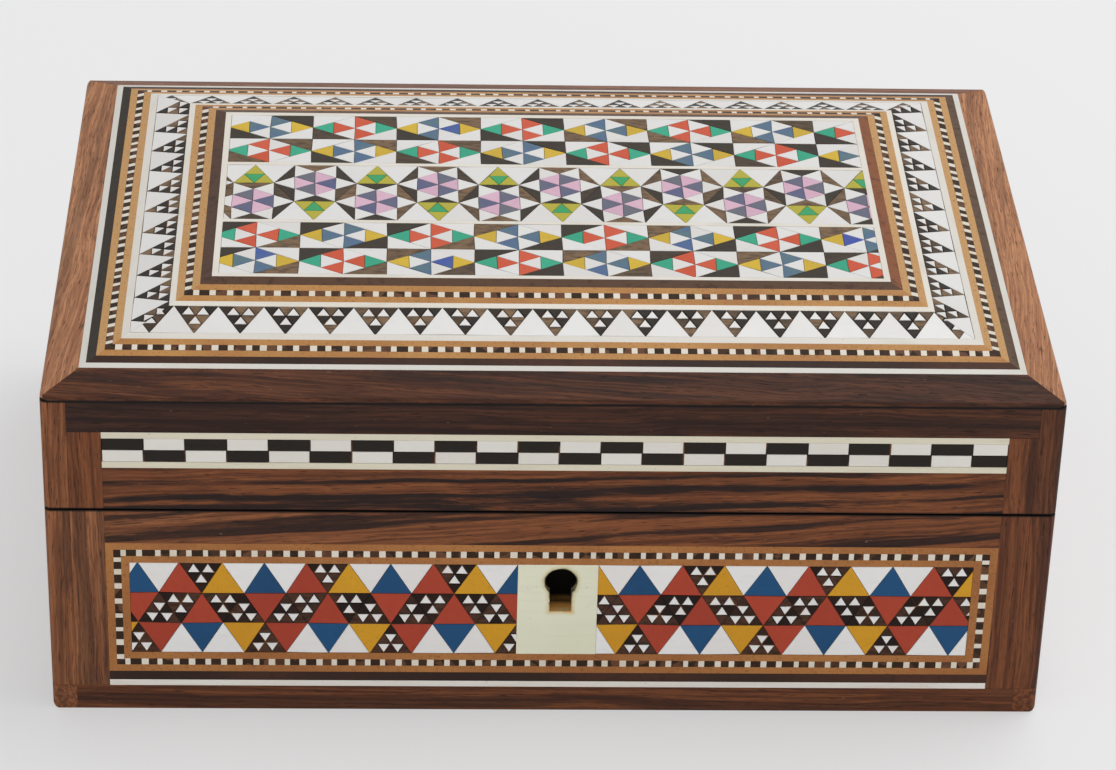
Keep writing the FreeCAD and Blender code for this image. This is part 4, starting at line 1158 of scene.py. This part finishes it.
def pad(name, columns, rows, spot, looped, cut=None):
    """A thin closed sheet over a grid; spot(s, t) is its glued side and the way its pile points."""
    count, across = len(columns), len(rows)
    deep, last = count * across, count if looped else count - 1
    points, faces = [], []
    for lift in (0, 1):
        for i, s in enumerate(columns):
            for j, t in enumerate(rows):
                at_rim = j in (0, across - 1) or (not looped and i in (0, last))
                wave = swell_wave * math.sin(170 * s + 5 * t) * math.sin(230 * t + 3)
                swell = rim_swell if at_rim else mean_swell + wave
                point, outward = spot(s, t)
                points.append(point + outward * lining * swell * lift)
    kept = {(i, j) for i in range(last) for j in range(across - 1)
            if not (cut and cut(columns[i], rows[j]))}
    for i, j in kept:
        n = (i + 1) % count
        a, b, c, d = i * across + j, n * across + j, n * across + j + 1, i * across + j + 1
        faces += [(a, d, c, b), (a + deep, b + deep, c + deep, d + deep)]
        for p, q, beside in ((a, b, (i, j - 1)), (b, c, (n, j)),
                             (c, d, (i, j + 1)), (d, a, ((i - 1) % count, j))):
            if beside not in kept:
                faces.append((p, q, q + deep, p + deep))
    cloth = bmesh.new()
    made = [cloth.verts.new(p) for p in points]
    for face in faces:
        cloth.faces.new([made[k] for k in face])
    bmesh.ops.delete(cloth, geom=[v for v in cloth.verts if not v.link_faces], context="VERTS")
    bmesh.ops.recalc_face_normals(cloth, faces=cloth.faces)
    mesh = as_mesh(cloth, name)
    mesh.materials.append(red_velvet)
    mesh.shade_smooth()
    piece = settled(mesh, name, name.split("_")[0], "velvet", name.replace("velvet", "lining"))


for name, level, pile_way, held, board in (
        ("base_floor_velvet", floor_level, up, "laid", "base_bottom_board"),
        ("lid_top_velvet", ceiling, -up, "stretched", "lid_top_board")):
    pad(name, steps(-inner_x, inner_x, 60), steps(-inner_y, inner_y, 40),
        lambda s, t: (Vector((s, t, level)), pile_way), False)

lock_half, lock_foot, lining_setback, bend = 17.1 * mm, 15.1 * mm, 1.5 * mm, 1.6 * mm
straight_x, straight_y = 2 * (inner_x - bend), 2 * (inner_y - bend)
quarter = math.pi / 2 * bend


def round_inside(s, t):
    """The point and inward direction at a length s round the inner walls and a height t."""
    for wall in all_walls:
        half, reach = (inner_x, inner_y) if wall in (front, back) else (inner_y, inner_x)
        start, length = wall.along * (bend - half) - wall.inward * reach + up * t, 2 * (half - bend)
        if s <= length:
            return start + wall.along * s, wall.inward
        s -= length
        if s <= quarter:
            inward = wall.inward * math.cos(s / bend) - wall.along * math.sin(s / bend)
            return start + wall.along * length + (wall.inward - inward) * bend, inward
        s -= quarter


lock_start = keyhole_x - lock_half + inner_x - bend
lock_end = lock_start + 2 * lock_half
columns = steps(0, lock_start, 20) + steps(lock_start, lock_end, 12)[1:]
columns += steps(lock_end, straight_x, 20)[1:]
start = straight_x
for length in (straight_y, straight_x, straight_y):
    columns += steps(start, start + quarter, 6)[1:]
    columns += steps(start + quarter, start + quarter + length, 40)[1:]
    start += quarter + length
columns += steps(start, start + quarter, 6)[1:-1]
low, high = floor_level + lining, base_height - lining_setback
rows = steps(low, lock_foot, 6) + steps(lock_foot, high, 12)[1:]
pad("base_wall_velvet", columns, rows, round_inside, True,
    lambda s, t: lock_start - touching < s < lock_end - touching and t > lock_foot - touching)
low, high = lid_bottom + lining_setback, ceiling - lining
pad("lid_wall_velvet", columns, steps(low, high, 8), round_inside, True)


# Hinges: two brass butt hinges let into the back edge, each leaf held by two countersunk slotted
# screws, with a pin through the knuckles.

def brass(name, shaded_inside=False):
    """Drawn brass, dulled by handling and darker in patches; inside the lock, painted shade and
    light.
    """
    material, place = new_finish(name)
    tarnish, scratches = place.noise(240.0, 4.0, 0.6), place.grained((200.0, 3000.0))
    colour = tarnish.step(0.38, 0.72).blend((0.72, 0.5, 0.2), (0.36, 0.22, 0.08))
    metal, rough = 0.75, 0.26 + tarnish * 0.22 + scratches * 0.12
    if shaded_inside:
        # Painted shade inside the lock, seen through the keyhole: black; painted light low down:
        # orange-brown, less metallic.
        y, z = place.part("Y"), place.part("Z")
        behind_plate = 1.0 - y.step(-47.7 * mm, -47.5 * mm)
        inside = behind_plate * (1.0 - z.step(base_height - 0.9 * mm, base_height - 0.6 * mm))
        level = z + y.step(-51.0 * mm, -49.0 * mm) * (1.8 * mm)
        black = level.step(slot_foot + 0.1 * mm, slot_foot + 1.2 * mm)
        colour = inside.blend(colour, black.blend((0.48, 0.25, 0.07), (0.01, 0.007, 0.004)))
        rough = rough + inside * 0.3
        metal = metal - inside * (1.0 - black) * 0.65
    return coated(material, colour, rough, 0.5, scratches, 0.01 * mm, 0.4, Metallic=metal)


old_brass = brass("old_brass")
dress(old_brass, "hinge_base_leaves", "hinge_lid_leaves")
head_radius, head_depth, slot_width, head_proud = 0.95 * mm, 0.5 * mm, 0.28 * mm, 0.06 * mm
head_top, head_foot, slot_ease = 0.94, 0.6 * head_radius, 0.01 * mm


def screw_head():
    """Two half discs on a shared disc: a countersunk head with a sawn slot."""
    head = bmesh.new()

    def ring(points, z):
        return [head.verts.new((x, y, z)) for x, y in points]

    def capped(low, high):
        head.faces.new(high)
        for i in range(len(low)):
            head.faces.new((low[i - 1], low[i], high[i], high[i - 1]))

    start = math.asin(slot_width / 2 / head_radius)
    for side in (-1, 1):
        rim = [(head_radius * math.cos(a), side * head_radius * math.sin(a))
               for a in steps(start, math.pi - start, 10)]
        top = [(x * head_top, y * head_top + side * slot_ease) for x, y in rim]
        capped(ring(rim, -head_depth / 2), ring(top, 0))
    turn = steps(0, 2 * math.pi, 16)[:-1]
    low, high = [ring([(r * math.cos(a), r * math.sin(a)) for a in turn], z)
                 for r, z in ((head_foot, -head_depth), (head_radius, -head_depth / 2))]
    capped(low, high)
    head.faces.new(low)
    bmesh.ops.recalc_face_normals(head, faces=head.faces)
    return stood("screw_head", as_mesh(head, "screw_head"))


screw_tree, (points, head, seed, finish) = new_shaper("screws", Head="Object")
half_turn = 3.14159
facing = stored(points, "facing")
turned = facing.node("FunctionNodeAlignRotationToVector", {"axis": "Z"}, {"Vector": facing})
spin = facing.node("ShaderNodeCombineXYZ", None, {2: chance(seed, 0.0, half_turn)})
turned = turned.node("FunctionNodeRotateRotation", {"rotation_space": "LOCAL"},
                     {"Rotation": turned, "Rotate By": spin})
head = head.node("GeometryNodeObjectInfo", None, {"Object": head}, "Geometry")
close_shaper(points.node("GeometryNodeInstanceOnPoints", None,
                         {"Points": points, "Instance": head, "Rotation": turned}), finish)
slotted_head = screw_head()


def drive_screws(name, body, places, seed):
    """Screws in a row of places, each a point on the plate and the direction that it faces."""
    points = [Vector(point) + facing * head_proud for point, facing in places]
    source = placed_on(name, points, [], [facing for point, facing in places])
    mesh = shaped(screw_tree, source, Head=slotted_head, Seed=seed, Finish=old_brass)
    settled(mesh, name, body, "brass")


hinge_x, screw_x, screw_y = 46.0 * mm, 6.2 * mm, 48.7 * mm
over_hinges = [side * hinge_x + end * screw_x for side in (-1, 1) for end in (-1, 1)]
drive_screws("hinge_base_screws", "base", [((x, screw_y, base_height), up) for x in over_hinges], 1)
drive_screws("hinge_lid_screws", "lid", [((x, screw_y, lid_bottom), -up) for x in over_hinges], 2)


# Lock: a brass plate with a folded top edge, let into the front board and screwed on from inside,
# with a case that holds the sliding bolt, its guide stump and a bowed leaf spring. The bolt takes
# the hook of the strike, which is screwed to the rim of the lid.

def spring_steel(name):
    material, place = new_finish(name)
    blueing = place.noise(400.0, 3.0)
    colour = blueing.step(0.35, 0.7).blend((0.2, 0.21, 0.25), (0.36, 0.36, 0.37))
    rough = 0.3 + blueing * 0.2
    return coated(material, colour, rough, 0.5, blueing, 0.005 * mm, 0.4, Metallic=1.0)


dress(brass("oiled_brass", True), "lock_plate", "lock_case", "lock_stump")
dress(old_brass, "lock_bolt", "strike_hook")
dress(spring_steel("spring_steel"), "bolt_spring")
plate_face, flange_y, plate_screw_x = -inner_y, -49.8 * mm, 14.8 * mm
plate_screws = [((keyhole_x + end * plate_screw_x, plate_face, z), front.inward)
                for end in (-1, 1) for z in (17.6 * mm, 34.6 * mm)]
plate_screws += [((keyhole_x + end * plate_screw_x, flange_y, base_height), up) for end in (-1, 1)]
drive_screws("lock_screws", "base", plate_screws, 3)
strike_x, strike_screw_x, strike_y = 9.7 * mm, 8.8 * mm, -49.3 * mm
drive_screws("strike_screws", "lid", [((strike_x + end * strike_screw_x, strike_y, lid_bottom), -up)
                                      for end in (-1, 1)], 4)
bpy.data.objects.remove(slotted_head)
